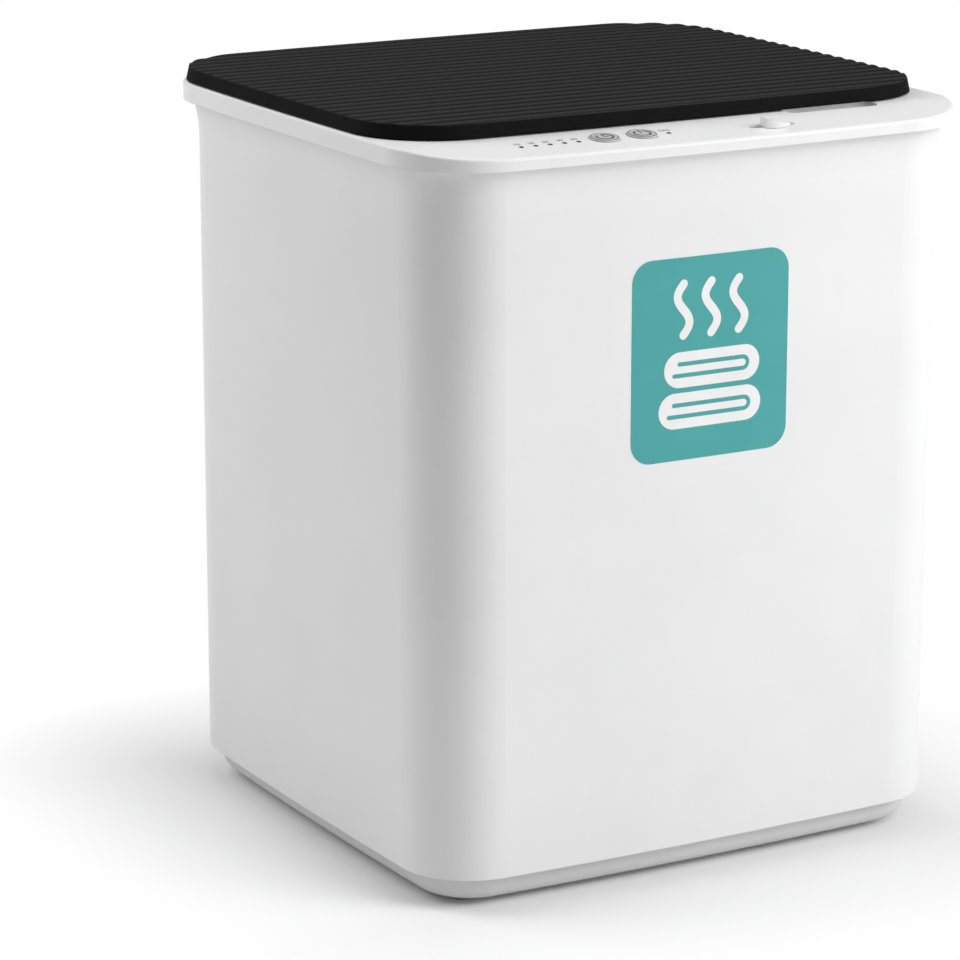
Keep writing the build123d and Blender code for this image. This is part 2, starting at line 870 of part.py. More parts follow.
def under_ribs():
    """Everything under the lid's top: a flat front band, then wide crests and narrow troughs."""
    crest = rib_pitch * rib_crest_share
    trough = rib_pitch - crest
    edge = lid_top - rib_depth * rib_crest_share
    low = lid_bottom - lid_height
    front = strip_front - lid_height
    count = int((lid_rear - rib_start) / rib_pitch) + 1
    curves = [Polyline((front, lid_top), (rib_start - rib_depth, lid_top), (rib_start, edge))]
    y = rib_start
    for _ in range(count):
        middle = y + trough
        end = y + rib_pitch
        curves.append(ThreePointArc((y, edge), (y + trough / 2, lid_top - rib_depth), (middle, edge)))
        curves.append(ThreePointArc((middle, edge), (middle + crest / 2, lid_top), (end, edge)))
        y = end
    curves.append(Polyline((y, edge), (y, low), (front, low), (front, lid_top)))
    side = Plane(origin=(-rim_width, 0, 0), x_dir=(0, 1, 0), z_dir=(1, 0, 0))
    return extrude(side * make_face(curves), amount=2 * rim_width)


def lid_cover():
    cover = lid_shape(0, lid_bottom, lid_top + cut_over) & under_ribs()
    cover -= lid_shape(-lid_wall, lid_bottom - cut_over, lid_skin)
    bite = lid_skin + lid_boss_bite
    for x, y in lid_screw_places():
        cover += post(x, y, liner_top, bite, lid_boss_side)
        cover -= rod(x, y, lid_bottom, bite, small_screw_radius + shaft_gap)
    for x0, x1 in lid_knuckle_spans():
        web = block(x0, x1, hinge_y - lid_web_reach, hinge_y, lid_bottom, bite)
        cover += across(knuckle_radius, x0, x1) + web
    gap = knuckle_side_gap
    for x0, x1 in hinge_spans():
        cover -= across(knuckle_radius + knuckle_round_gap, x0 - gap, x1 + gap)
        cover -= block(x0 - gap, x1 + gap, hinge_y - hinge_web_half, lid_rear + cut_over,
                       lid_bottom - cut_over, hinge_z)
    for x0, x1 in hinge_ends():
        cover -= across(pin_radius + shaft_gap, x0, x1)
    return cover


def lid_screw_places():
    return [(s * lid_screw_x, y) for s in (-1, 1) for y in (lid_screw_front, lid_screw_rear)]


def lid_liner():
    """The lid's underside: a flat panel and a shallow hollow plug that reaches into the bucket."""
    over = liner_top + cut_over
    under = liner_bottom - cut_over
    liner = lid_shape(-lid_wall - fit_gap, liner_bottom, liner_top)
    tub = slab(bucket_outline(-plug_gap), plug_bottom, liner_top)
    liner += chamfer(tub.edges().group_by(Axis.Z)[0], plug_edge)
    hollow = slab(bucket_outline(-plug_gap - liner_wall), plug_bottom + liner_wall, over)
    liner -= chamfer(hollow.edges().group_by(Axis.Z)[0], plug_edge - liner_wall / 2)
    for x, y in lid_screw_places():
        liner -= rod(x, y, under, over, small_screw_radius + screw_gap)
    for x0, x1 in hinge_ends():
        liner -= block(x0 - hinge_room, x1 + hinge_room, hinge_y - lid_web_reach - fit_gap,
                       lid_rear + cut_over, under, over)
    gap = catch_slot_gap
    half = catch_thickness / 2 + gap
    liner -= block(catch_left - gap, catch_left + catch_stem_width + gap, catch_y - half,
                   catch_y + half, under, over)
    return liner


def lid_insulation():
    face = bucket_outline(-plug_gap - liner_wall - plug_edge)
    return slab(face, plug_bottom + liner_wall, lid_skin)


def lid_gasket():
    outside = bucket_wall + flange_reach - gasket_inset
    ring = bucket_outline(outside) - bucket_outline(outside - gasket_width)
    return slab(ring, gasket_bottom, liner_bottom)


def lid_catch():
    half = catch_thickness / 2
    right = catch_left + catch_stem_width
    bottom = lid_bottom - catch_depth
    stem = block(catch_left, right, catch_y - half, catch_y + half, bottom, lid_skin)
    foot = block(catch_left, right + catch_foot_reach, catch_y - half, catch_y + half,
                 bottom, bottom + catch_foot_height)
    tab = block(catch_left - catch_tab_side, right + catch_tab_side, catch_y - half,
                catch_y + catch_tab_reach, liner_top, lid_skin)
    return stem + foot + tab


def lid_screws():
    one = screw(small_screw_radius, lid_screw_length, small_head_radius, liner_recess)
    return group([Pos(x, y, liner_bottom) * one for x, y in lid_screw_places()])


def hinge_pins():
    return group([across(pin_radius, x0, x1) for x0, x1 in hinge_ends()])


# Lock slider

def lock_slider():
    """A thumb tab: tall at its left end, running out to the right, with a bulging front."""
    left_depth = -knob_width * knob_left_share
    right_depth = -knob_width * knob_right_share
    plan = make_face(
        [
            Polyline((0, left_depth), (0, 0), (knob_length, 0), (knob_length, right_depth)),
            ThreePointArc((knob_length, right_depth), (knob_length / 2, -knob_width),
                          (0, left_depth)),
        ]
    )
    crown = (knob_crest, knob_height)
    tip = (knob_length + cut_over, knob_tip_height)
    middle = ((crown[0] + tip[0]) / 2, (crown[1] + tip[1]) / 2 - knob_dip)
    side_view = make_face(
        [
            Polyline(tip, (tip[0], 0), (0, 0), (0, knob_height), crown),
            ThreePointArc(crown, middle, tip),
        ]
    )
    side = Plane(origin=(0, knob_width, 0), x_dir=(1, 0, 0), z_dir=(0, -1, 0))
    knob = extrude(plan, amount=knob_height + cut_over)
    knob &= extrude(side * side_view, amount=3 * knob_width)
    knob = Pos(knob_left, knob_back_row, close_gap) * knob
    low = tongue_level()
    high = close_gap + knob_tip_height
    neck = block(neck_x - neck_length / 2, neck_x + neck_length / 2, channel_row - neck_width / 2,
                 channel_row + neck_width / 2, low, high)
    pilot = rod(neck_x, channel_row, low - cut_over, low + lock_pilot_depth,
                lock_screw_radius + shaft_gap)
    return strip * (knob + neck - pilot)


def tongue_level():
    """The top of the tongue, measured down the strip's normal."""
    return -deck_wall - close_gap


def lock_tongue():
    """A bent plate on the slider's neck, with a finger that reaches over the lid's catch."""
    top = tongue_level()
    low = top - tongue_thickness
    back_row = channel_row + tongue_reach
    right = neck_x + tongue_width / 2
    plate = block(neck_x - tongue_width / 2, right, channel_row - tongue_front_reach, back_row,
                  low, top)
    plate -= rod(neck_x, channel_row, low - cut_over, top + cut_over, small_screw_radius)
    hook_low = lid_bottom - catch_depth + catch_foot_height + catch_gap
    hook_high = hook_low + tongue_thickness
    finger_left = catch_left + catch_stem_width + tongue_end_gap + slide_travel
    back = catch_y + catch_thickness / 2 - catch_gap
    finger = block(finger_left, right, back - catch_thickness, back, hook_low, hook_high)
    joint_front = strip_point(0, back_row - fit_gap - tongue_riser_depth, 0).Y
    joint_back = strip_point(0, back_row - fit_gap, 0).Y
    joint_top = strip_point(0, back_row - fit_gap - tongue_riser_depth, (low + top) / 2).Z
    riser = block(neck_x, right, joint_front, joint_back, hook_low, joint_top)
    arm = block(neck_x, right, joint_front, back, hook_low, hook_high)
    return strip * plate + riser + arm + finger


def lock_screw():
    level = tongue_level() - tongue_thickness
    one = screw(lock_screw_radius, lock_screw_length, lock_head_radius, small_head_height)
    return on_strip(one, neck_x, channel_row, level)


nodes = {
    "outer_shell": outer_shell(),
    "top_deck": top_deck(),
    "base_tray": base_tray(),
    "rubber_feet": rubber_feet(),
    "base_screws": base_screws(),
    "deck_screws": deck_screws(),
    "inner_bucket": inner_bucket(),
    "heating_film": heating_film(),
    "insulation_sleeve": insulation_sleeve(),
    "thermostat": thermostat(),
    "thermal_fuse": thermal_fuse(),
    "power_board": power_board(),
    "terminal_block": terminal_block(),
    "cord_gland": cord_gland(),
    "control_board": control_board(),
    "tact_switches": tact_switches(),
    "led_lenses": led_lenses(),
    "board_screws": board_screw_group(),
    "timer_button": push_button(timer_x),
    "timer_plunger": plunger(timer_x),
    "power_button": push_button(power_x),
    "power_plunger": plunger(power_x),
    "hinge_pins": hinge_pins(),
    "lid_cover": lid_cover(),
    "lid_liner": lid_liner(),
    "lid_insulation": lid_insulation(),
    "lid_gasket": lid_gasket(),
    "lid_catch": lid_catch(),
    "lid_screws": lid_screws(),
    "lock_slider": lock_slider(),
    "lock_tongue": lock_tongue(),
    "lock_screw": lock_screw(),
}

for name, shape in nodes.items():
    export_step(shape, f"parts/{name}.step")
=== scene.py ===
import json
from math import cos, pi, radians, sin

import bmesh
import bpy
from mathutils import Matrix, Vector, noise
from mathutils.bvhtree import BVHTree


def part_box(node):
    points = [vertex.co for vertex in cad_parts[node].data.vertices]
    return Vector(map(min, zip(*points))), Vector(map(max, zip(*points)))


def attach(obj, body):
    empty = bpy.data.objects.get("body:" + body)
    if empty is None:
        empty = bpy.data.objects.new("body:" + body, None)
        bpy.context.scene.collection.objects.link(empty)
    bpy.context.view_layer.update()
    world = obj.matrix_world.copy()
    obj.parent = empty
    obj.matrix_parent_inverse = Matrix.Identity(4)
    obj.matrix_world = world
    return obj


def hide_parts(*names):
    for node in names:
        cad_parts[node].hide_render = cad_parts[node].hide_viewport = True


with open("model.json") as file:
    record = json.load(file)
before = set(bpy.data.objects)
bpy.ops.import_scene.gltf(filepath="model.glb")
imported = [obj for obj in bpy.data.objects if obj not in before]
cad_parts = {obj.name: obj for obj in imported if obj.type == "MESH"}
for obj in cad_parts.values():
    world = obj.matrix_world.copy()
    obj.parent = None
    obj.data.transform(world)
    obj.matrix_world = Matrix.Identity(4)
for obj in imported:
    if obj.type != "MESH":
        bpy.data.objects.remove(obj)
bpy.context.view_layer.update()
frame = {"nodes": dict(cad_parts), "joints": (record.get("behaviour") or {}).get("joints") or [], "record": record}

# The looks of a bucket towel warmer: satin white housing, black ribbed lid, grey push buttons with
# printed signs, a row of numbered lights, a thumb slider and a teal label on the front. Lengths are
# in metres in the part's own frame: the front looks along -Y and the feet stand on z = 0.

MM = 0.001
scene = bpy.context.scene
nodes = frame["nodes"]
up = Vector((0.0, 0.0, 1.0))
to_the_right = Vector((1.0, 0.0, 0.0))

# Camera, with its angles in radians and its lens and sensor in millimetres
camera_place = Vector((-1.0583, -1.7898, 0.7173))
camera_yaw = 0.5133
camera_pitch = 0.2539
camera_lens = 148.2
camera_sensor = 36.0
camera_clip_start = 0.05
camera_clip_end = 60.0

# Floor and surround: between two distances from the footprint the floor fades into a painted white glow that
# covers the lamps' shadow, and nearer the object a faint painted glow lifts its real shadow
floor_size = 12.0
floor_level = -0.2 * MM
floor_colour = (0.86, 0.86, 0.86)
floor_glow = 0.03
floor_painted_white_start = 12 * MM
floor_painted_white_end = 135 * MM
footprint_half = Vector((148, 140)) * MM
world_strength = 0.15

# Lamps: azimuth (0 in front, 90 to the right) and elevation in degrees, distance, power in watts
lamp_width = 1.0
lamp_height = 1.2
lamp_aim = 0.22
lamps = {
    "key_light": (25, 42, 2.3, 17.8),
    "cross_light": (45, 20, 2.3, 25.2),
    "top_light": (0, 90, 2.3, 13.5),
    "side_light": (-130, 35, 1.6, 13.2),
    "rear_light": (180, 50, 2.3, 3.5),
    "right_light": (110, 45, 2.3, 2.0),
}

# Heights where the colour changes: the foot and the top of the lid's ribs, below which the lid gets painted shade
# in its rib valleys and on its walls, and a board's components
lid_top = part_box("lid_cover")[1].z
groove_floor = lid_top - 0.65 * MM
groove_rim = lid_top - 0.15 * MM
groove_shade = 0.2
components_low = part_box("power_board")[0].z + 1.7 * MM
components_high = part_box("power_board")[1].z + 1.0 * MM

# Flat artwork, and the rays that lay it on a surface: how far before its plane they start
same_angle = 1e-6
same_point = 1e-7
cap_steps = 6
ray_back = 20 * MM
ray_reach = 60 * MM
print_thickness = 0.05 * MM
print_lift = 0.03 * MM

# Front label, by x and z
label_low = Vector((-47.2, 224.5)) * MM
label_high = Vector((46.0, 329.0)) * MM
label_corner = 11.5 * MM
label_corner_steps = 14
label_thickness = 0.12 * MM
label_lift = 0.04 * MM
label_strips = 16

# The label's sign: two folded towels with warm air above; a fold is in shares of a towel's height
towel_height = 18.5 * MM
towel_half = 30.5 * MM
towel_gap = 2.6 * MM
towel_line = 2.2 * MM
towel_end_steps = 12
towels_above_edge = 16.5 * MM
upper_towel_left = 3 * MM
upper_towel_right = 1 * MM
fold_left = 0.32
fold_right = 0.55
fold_reach = 0.16
fold_steps = 16
air_line = 4.6 * MM
air_swing = 3.6 * MM
air_spacing = 16.5 * MM
air_above_towels = 8.5 * MM
air_below_edge = 13.5 * MM
air_steps = 24

# Print on the strip and the buttons, and a dark ring on each button's edge that is painted shade for the gap round
# it
timer_numbers = ["10", "20", "30", "40", "60"]
number_height = 2.7 * MM
number_rise = 5.0 * MM
capital_share = 0.69
lens_gap = 2.0 * MM
light_ring_radius = 1.3 * MM
light_ring_line = 0.3 * MM
icon_radius = 4.2 * MM
icon_line = 0.95 * MM
icon_steps = 40
clock_arc = (0.78 * pi, 2.5 * pi)
clock_hand = 2.6 * MM
clock_short_hand = 1.9 * MM
power_arc = (0.68 * pi, 2.32 * pi)
power_bar_top = icon_radius + 0.6 * MM
power_bar_foot = 1.1 * MM
# The dark ring near a button's edge is painted shade standing for the shadow in the gap round the button
key_gap_shade_radius = 7.1 * MM
key_gap_shade_line = 0.4 * MM

# Pieces that stand for plain solids
smooth_angle = radians(40)
wrap_columns = 220
wrap_rows = 42

# The seal's section from its foot to the tip of its bulb: shares of its half width and its height
gasket_points = 260
seal_section = [
    (1.0, 1.0), (1.0, 0.85), (0.6, 0.76), (0.55, 0.66), (0.8, 0.56), (0.97, 0.42), (1.0, 0.3),
    (0.92, 0.17), (0.7, 0.07), (0.36, 0.015), (0.0, 0.0),
]

# The foam's faces and edge, from the middle out: millimetres in from its side and from its face
foam_edge = [(60.0, 0.5), (36.0, 0.3), (16.0, 0.1), (6.0, 0.0), (2.4, 0.1), (0.8, 0.7), (0.1, 2.2)]
foam_unevenness = 0.3 * MM
foam_noise_scale = 60.0

# The felt: where its outline is read, and how far its ends and seam sink, in shares
felt_level = 0.75
felt_end = 0.16
felt_seam = 0.25
felt_seam_half = 2.5 * MM
felt_unevenness = 0.8 * MM
felt_noise_scale = 45.0
window_reach = 20 * MM

# Screws: how far apart the points of one screw's line may lie, and the height between the boards
screw_spread = 7 * MM
same_level = 0.01 * MM
between_boards = 100 * MM

# A screw's thread and tip in shares of its shank's radius, and its head, from the dish in its top
# to its seat, in shares of the head's height and of half its width across flats
screw_sides = 24
thread_pitch = 0.8
thread_share = 0.14
thread_steps = 4
tip_length = 0.7
tip_shoulder = 0.6
tip_share = 0.35
head_dish = [(0.8, 0.5), (0.86, 0.68), (1.0, 0.76), (1.0, 0.93)]
head_corner = (0.92, 1.02)
head_sides = [(0.76, 1.0), (0.06, 1.0), (0.0, 0.98)]


# Camera

def make_camera():
    data = bpy.data.cameras.new("camera")
    camera = bpy.data.objects.new("camera", data)
    scene.collection.objects.link(camera)
    forward = Vector((
        sin(camera_yaw) * cos(camera_pitch),
        cos(camera_yaw) * cos(camera_pitch),
        -sin(camera_pitch),
    ))
    camera.location = camera_place
    camera.rotation_mode = "QUATERNION"
    camera.rotation_quaternion = forward.to_track_quat("-Z", "Y")
    data.sensor_width = camera_sensor
    data.lens = camera_lens
    data.clip_start = camera_clip_start
    data.clip_end = camera_clip_end
    scene.camera = camera


make_camera()
scene.view_settings.view_transform = "Standard"


# Node helpers

def blank_material(name):
    """A new material with nothing but an output."""
    material = bpy.data.materials.new(name)
    material.use_nodes = True
    tree = material.node_tree
    tree.nodes.clear()
    return material, tree, tree.nodes.new("ShaderNodeOutputMaterial")


def start_material(name):
    """A new material with an output and a principled shader."""
    material, tree, output = blank_material(name)
    shader = tree.nodes.new("ShaderNodeBsdfPrincipled")
    tree.links.new(shader.outputs["BSDF"], output.inputs["Surface"])
    return material, tree, shader


def place_of(tree, stretch=(1, 1, 1)):
    """The point in the object's own frame, stretched along its axes."""
    coordinates = tree.nodes.new("ShaderNodeTexCoord")
    mapping = tree.nodes.new("ShaderNodeMapping")
    mapping.inputs["Scale"].default_value = stretch
    tree.links.new(coordinates.outputs["Object"], mapping.inputs["Vector"])
    return mapping.outputs["Vector"]


def parts_of(tree, place):
    """The three coordinates of a point, by name."""
    parts = tree.nodes.new("ShaderNodeSeparateXYZ")
    tree.links.new(place, parts.inputs["Vector"])
    return parts.outputs


def noise_of(tree, place, scale, detail=3.0, roughness=0.55):
    """A noise from 0 to 1, with a number of waves in each metre."""
    texture = tree.nodes.new("ShaderNodeTexNoise")
    texture.inputs["Scale"].default_value = scale
    texture.inputs["Detail"].default_value = detail
    texture.inputs["Roughness"].default_value = roughness
    tree.links.new(place, texture.inputs["Vector"])
    return texture.outputs["Fac"]


def remap(tree, value, low=0.0, high=1.0, start=0.3, end=0.7):
    """Takes start to end, by default where a noise mostly lies, to the stretch from low to high."""
    node = tree.nodes.new("ShaderNodeMapRange")
    node.inputs["From Min"].default_value = start
    node.inputs["From Max"].default_value = end
    node.inputs["To Min"].default_value = low
    node.inputs["To Max"].default_value = high
    tree.links.new(value, node.inputs["Value"])
    return node.outputs["Result"]


def math_of(tree, operation, a, b=None):
    """One sum on one or two values, each a number or a socket."""
    node = tree.nodes.new("ShaderNodeMath")
    node.operation = operation
    for socket, value in zip(node.inputs, (a, b)):
        if isinstance(value, (int, float)):
            socket.default_value = value
        elif value is not None:
            tree.links.new(value, socket)
    return node.outputs["Value"]


def times(tree, value, factor):
    return math_of(tree, "MULTIPLY", value, factor)


def blend_colours(tree, share, first, second):
    """Mixes two colours by a share that a socket gives."""
    node = tree.nodes.new("ShaderNodeMix")
    node.data_type = "RGBA"
    tree.links.new(share, node.inputs["Factor"])
    for socket, value in ((node.inputs["A"], first), (node.inputs["B"], second)):
        if isinstance(value, (tuple, list)):
            socket.default_value = (*value, 1.0)
        else:
            tree.links.new(value, socket)
    return node.outputs["Result"]


def blend_shaders(tree, share, first, second):
    """Mixes two shaders by a share that a socket gives."""
    node = tree.nodes.new("ShaderNodeMixShader")
    tree.links.new(share, node.inputs["Fac"])
    tree.links.new(first, node.inputs[1])
    tree.links.new(second, node.inputs[2])
    return node.outputs["Shader"]


def any_ray(tree, *kinds):
    """1 for a ray of any of the kinds that Light Path names, and 0 for the others."""
    path = tree.nodes.new("ShaderNodeLightPath")
    found = path.outputs[kinds[0]]
    for kind in kinds[1:]:
        found = math_of(tree, "MAXIMUM", found, path.outputs[kind])
    return found


def bump_of(tree, height, strength, distance, normal=None):
    """The surface direction with bumps of a height, on top of another direction."""
    node = tree.nodes.new("ShaderNodeBump")
    node.inputs["Strength"].default_value = strength
    node.inputs["Distance"].default_value = distance
    tree.links.new(height, node.inputs["Height"])
    if normal is not None:
        tree.links.new(normal, node.inputs["Normal"])
    return node.outputs["Normal"]


def soft_edge(tree, radius):
    """The surface direction with edges rounded by a radius, and how near a point is to an edge."""
    bevel = tree.nodes.new("ShaderNodeBevel")
    bevel.samples = 6
    bevel.inputs["Radius"].default_value = radius
    geometry = tree.nodes.new("ShaderNodeNewGeometry")
    dot = tree.nodes.new("ShaderNodeVectorMath")
    dot.operation = "DOT_PRODUCT"
    tree.links.new(bevel.outputs["Normal"], dot.inputs[0])
    tree.links.new(geometry.outputs["Normal"], dot.inputs[1])
    near = remap(tree, dot.outputs["Value"], low=1.0, high=0.0, start=0.75, end=0.99)
    return bevel.outputs["Normal"], near


def shade(colour, factor):
    """A colour made darker or lighter by a factor."""
    return tuple(min(1.0, c * factor) for c in colour)


# Materials

def moulded_plastic(name, colour, roughness, grain=0.35, grain_size=0.4 * MM, wave=0.25,
                    edge=0.4 * MM, wear=1.06, specular=0.5, painted_groove_shade=None):
    """Moulded plastic: fine grain, a slow unevenness of the surface, handling marks in its gloss.

    The groove shade gives two heights and a factor for painted shade: below the first height the colour is
    multiplied by the factor, darkening rib valleys and walls as shade, and between the heights it fades back.
    """
    material, tree, shader = start_material(name)
    place = place_of(tree)
    normal, near = soft_edge(tree, edge)
    tone = remap(tree, noise_of(tree, place, scale=14.0))
    specks = remap(tree, noise_of(tree, place, scale=900.0, detail=2.0), start=0.45, end=0.75)
    base = blend_colours(tree, tone, shade(colour, 0.965), colour)
    base = blend_colours(tree, times(tree, specks, 0.12), base, shade(colour, 0.88))
    base = blend_colours(tree, times(tree, near, 0.5), base, shade(colour, wear))
    # Painted shade: below the foot of the lid's ribs the colour darkens, standing for shade in the rib valleys and
    # on the walls
    if painted_groove_shade is not None:
        floor, rim, factor = painted_groove_shade
        raised = remap(tree, parts_of(tree, place)["Z"], start=floor, end=rim)
        base = blend_colours(tree, raised, shade(colour, factor), base)
    tree.links.new(base, shader.inputs["Base Color"])

    smudges = noise_of(tree, place, scale=30.0, detail=4.0, roughness=0.6)
    fine = noise_of(tree, place, scale=500.0, detail=2.0)
    smudges = remap(tree, smudges, low=roughness - 0.03, high=roughness + 0.03)
    gloss = math_of(tree, "ADD", smudges, remap(tree, fine, low=-0.02, high=0.02))
    gloss = math_of(tree, "SUBTRACT", gloss, times(tree, near, 0.06))
    tree.links.new(gloss, shader.inputs["Roughness"])

    slow = noise_of(tree, place, scale=35.0, detail=2.0)
    slow = bump_of(tree, slow, strength=wave, distance=0.4 * MM, normal=normal)
    grains = noise_of(tree, place, scale=1.0 / grain_size, detail=2.0)
    grains = bump_of(tree, grains, strength=grain, distance=0.03 * MM, normal=slow)
    tree.links.new(grains, shader.inputs["Normal"])
    shader.inputs["Specular IOR Level"].default_value = specular
    return material


def drawn_metal(name, colour, roughness, stretch, lines=0.5, tint=0.9):
    """Bare metal with fine drawing or brushing lines that run along one direction."""
    material, tree, shader = start_material(name)
    place = place_of(tree)
    normal, near = soft_edge(tree, 0.3 * MM)
    streaks = noise_of(tree, place_of(tree, stretch), scale=1.0, detail=5.0, roughness=0.65)
    clouds = noise_of(tree, place, scale=18.0, detail=4.0)
    base = blend_colours(tree, remap(tree, streaks), shade(colour, tint), colour)
    base = blend_colours(tree, remap(tree, clouds, high=0.25), base, shade(colour, 0.8))
    tree.links.new(base, shader.inputs["Base Color"])

    shine = remap(tree, streaks, low=roughness - 0.07, high=roughness + 0.07)
    shine = math_of(tree, "ADD", shine, remap(tree, clouds, low=-0.04, high=0.05))
    shine = math_of(tree, "SUBTRACT", shine, times(tree, near, 0.08))
    tree.links.new(shine, shader.inputs["Roughness"])

    scratched = bump_of(tree, streaks, strength=lines, distance=0.02 * MM, normal=normal)
    tree.links.new(scratched, shader.inputs["Normal"])
    shader.inputs["Metallic"].default_value = 1.0
    return material


def soft_rubber(name, colour, roughness):
    """Rubber or silicone: matte, dusty in patches, with a fine pitted skin."""
    material, tree, shader = start_material(name)
    place = place_of(tree)
    normal, near = soft_edge(tree, 0.4 * MM)
    dust = remap(tree, noise_of(tree, place, scale=60.0, detail=5.0), high=0.5)
    base = blend_colours(tree, dust, colour, shade(colour, 1.25))
    base = blend_colours(tree, times(tree, near, 0.5), base, shade(colour, 1.35))
    tree.links.new(base, shader.inputs["Base Color"])

    gloss = noise_of(tree, place, scale=240.0)
    gloss = remap(tree, gloss, low=roughness - 0.07, high=roughness + 0.07)
    tree.links.new(gloss, shader.inputs["Roughness"])

    pits = noise_of(tree, place, scale=1800.0)
    pits = bump_of(tree, pits, strength=0.5, distance=0.05 * MM, normal=normal)
    tree.links.new(pits, shader.inputs["Normal"])
    return material


def fibre_felt(name, colour, scale):
    """Felt or open foam: matted fibres or cells in two sizes, with a soft sheen."""
    material, tree, shader = start_material(name)
    place = place_of(tree)
    flattened = place_of(tree, (1.0, 1.0, 3.0))
    fibres = noise_of(tree, flattened, scale=scale, detail=6.0, roughness=0.7)
    clumps = noise_of(tree, place, scale=scale / 12)
    base = blend_colours(tree, remap(tree, fibres), shade(colour, 0.78), shade(colour, 1.06))
    base = blend_colours(tree, remap(tree, clumps, high=0.35), base, shade(colour, 0.85))
    tree.links.new(base, shader.inputs["Base Color"])
    shader.inputs["Roughness"].default_value = 0.95
    shader.inputs["Sheen Weight"].default_value = 0.35
    shader.inputs["Sheen Roughness"].default_value = 0.5

    coarse = bump_of(tree, clumps, strength=0.5, distance=0.6 * MM)
    matted = bump_of(tree, fibres, strength=0.8, distance=0.3 * MM, normal=coarse)
    tree.links.new(matted, shader.inputs["Normal"])
    return material


def circuit_board(name, mask, copper, component):
    """Solder mask over raised copper tracks, and dark components between two heights."""
    material, tree, shader = start_material(name)
    place = place_of(tree)
    tracks = tree.nodes.new("ShaderNodeTexVoronoi")
    tracks.feature = "DISTANCE_TO_EDGE"
    tracks.inputs["Scale"].default_value = 180.0
    tracks.inputs["Randomness"].default_value = 0.55
    tree.links.new(place, tracks.inputs["Vector"])
    line = remap(tree, tracks.outputs["Distance"], low=1.0, high=0.0, start=0.02, end=0.07)
    board = blend_colours(tree, line, mask, copper)
    height = parts_of(tree, place)["Z"]
    above = math_of(tree, "GREATER_THAN", height, components_low)
    below = math_of(tree, "LESS_THAN", height, components_high)
    base = blend_colours(tree, times(tree, above, below), board, component)
    tree.links.new(base, shader.inputs["Base Color"])

    gloss = remap(tree, noise_of(tree, place, scale=300.0), low=0.22, high=0.34)
    tree.links.new(gloss, shader.inputs["Roughness"])
    raised = bump_of(tree, line, strength=0.6, distance=0.04 * MM)
    tree.links.new(raised, shader.inputs["Normal"])
    return material


def heater_foil(name, colour):
    """The heating film: amber film with darker printed runs of the heating track."""
    material, tree, shader = start_material(name)
    place = place_of(tree)
    runs = tree.nodes.new("ShaderNodeTexWave")
    runs.bands_direction = "Z"
    runs.inputs["Scale"].default_value = 28.0
    runs.inputs["Distortion"].default_value = 0.0
    tree.links.new(place, runs.inputs["Vector"])
    track = remap(tree, runs.outputs["Fac"], start=0.55, end=0.62)
    base = blend_colours(tree, track, colour, shade(colour, 0.35))
    tree.links.new(base, shader.inputs["Base Color"])

    gloss = remap(tree, noise_of(tree, place, scale=90.0), low=0.25, high=0.42)
    tree.links.new(gloss, shader.inputs["Roughness"])
    raised = bump_of(tree, track, strength=0.5, distance=0.06 * MM)
    tree.links.new(raised, shader.inputs["Normal"])
    return material


def smoked_lens(name, colour):
    """A small moulded lens, smoked, with a clear glossy skin."""
    material, tree, shader = start_material(name)
    place = place_of(tree)
    normal, near = soft_edge(tree, 0.2 * MM)
    cloud = remap(tree, noise_of(tree, place, scale=700.0))
    base = blend_colours(tree, cloud, shade(colour, 0.8), shade(colour, 1.2))
    tree.links.new(base, shader.inputs["Base Color"])
    gloss = remap(tree, cloud, low=0.14, high=0.22, start=0.0, end=1.0)
    tree.links.new(gloss, shader.inputs["Roughness"])
    rounded = bump_of(tree, near, strength=0.2, distance=0.03 * MM, normal=normal)
    tree.links.new(rounded, shader.inputs["Normal"])
    shader.inputs["Coat Weight"].default_value = 0.4
    return material


def printed_ink(name, colour):
    """Pad-printed ink: thin in places, matte, with a faint edge build-up."""
    material, tree, shader = start_material(name)
    place = place_of(tree)
    cover = remap(tree, noise_of(tree, place, scale=3500.0))
    base = blend_colours(tree, cover, shade(colour, 1.2), colour)
    tree.links.new(base, shader.inputs["Base Color"])
    gloss = remap(tree, cover, low=0.42, high=0.55, start=0.0, end=1.0)
    tree.links.new(gloss, shader.inputs["Roughness"])
    built_up = bump_of(tree, cover, strength=0.2, distance=0.01 * MM)
    tree.links.new(built_up, shader.inputs["Normal"])
    return material


def label_film(name, colour):
    """A printed label: even ink under a satin film, slightly wavy from being laid by hand."""
    material, tree, shader = start_material(name)
    place = place_of(tree)
    tone = remap(tree, noise_of(tree, place, scale=40.0))
    dots = remap(tree, noise_of(tree, place, scale=2600.0, detail=2.0))
    base = blend_colours(tree, tone, shade(colour, 0.96), shade(colour, 1.02))
    base = blend_colours(tree, times(tree, dots, 0.15), base, shade(colour, 0.9))
    tree.links.new(base, shader.inputs["Base Color"])

    gloss = remap(tree, noise_of(tree, place, scale=120.0), low=0.36, high=0.48)
    tree.links.new(gloss, shader.inputs["Roughness"])
    waves = noise_of(tree, place, scale=55.0, detail=2.0)
    waves = bump_of(tree, waves, strength=0.15, distance=0.3 * MM)
    dotted = bump_of(tree, dots, strength=0.2, distance=0.01 * MM, normal=waves)
    tree.links.new(dotted, shader.inputs["Normal"])
    return material


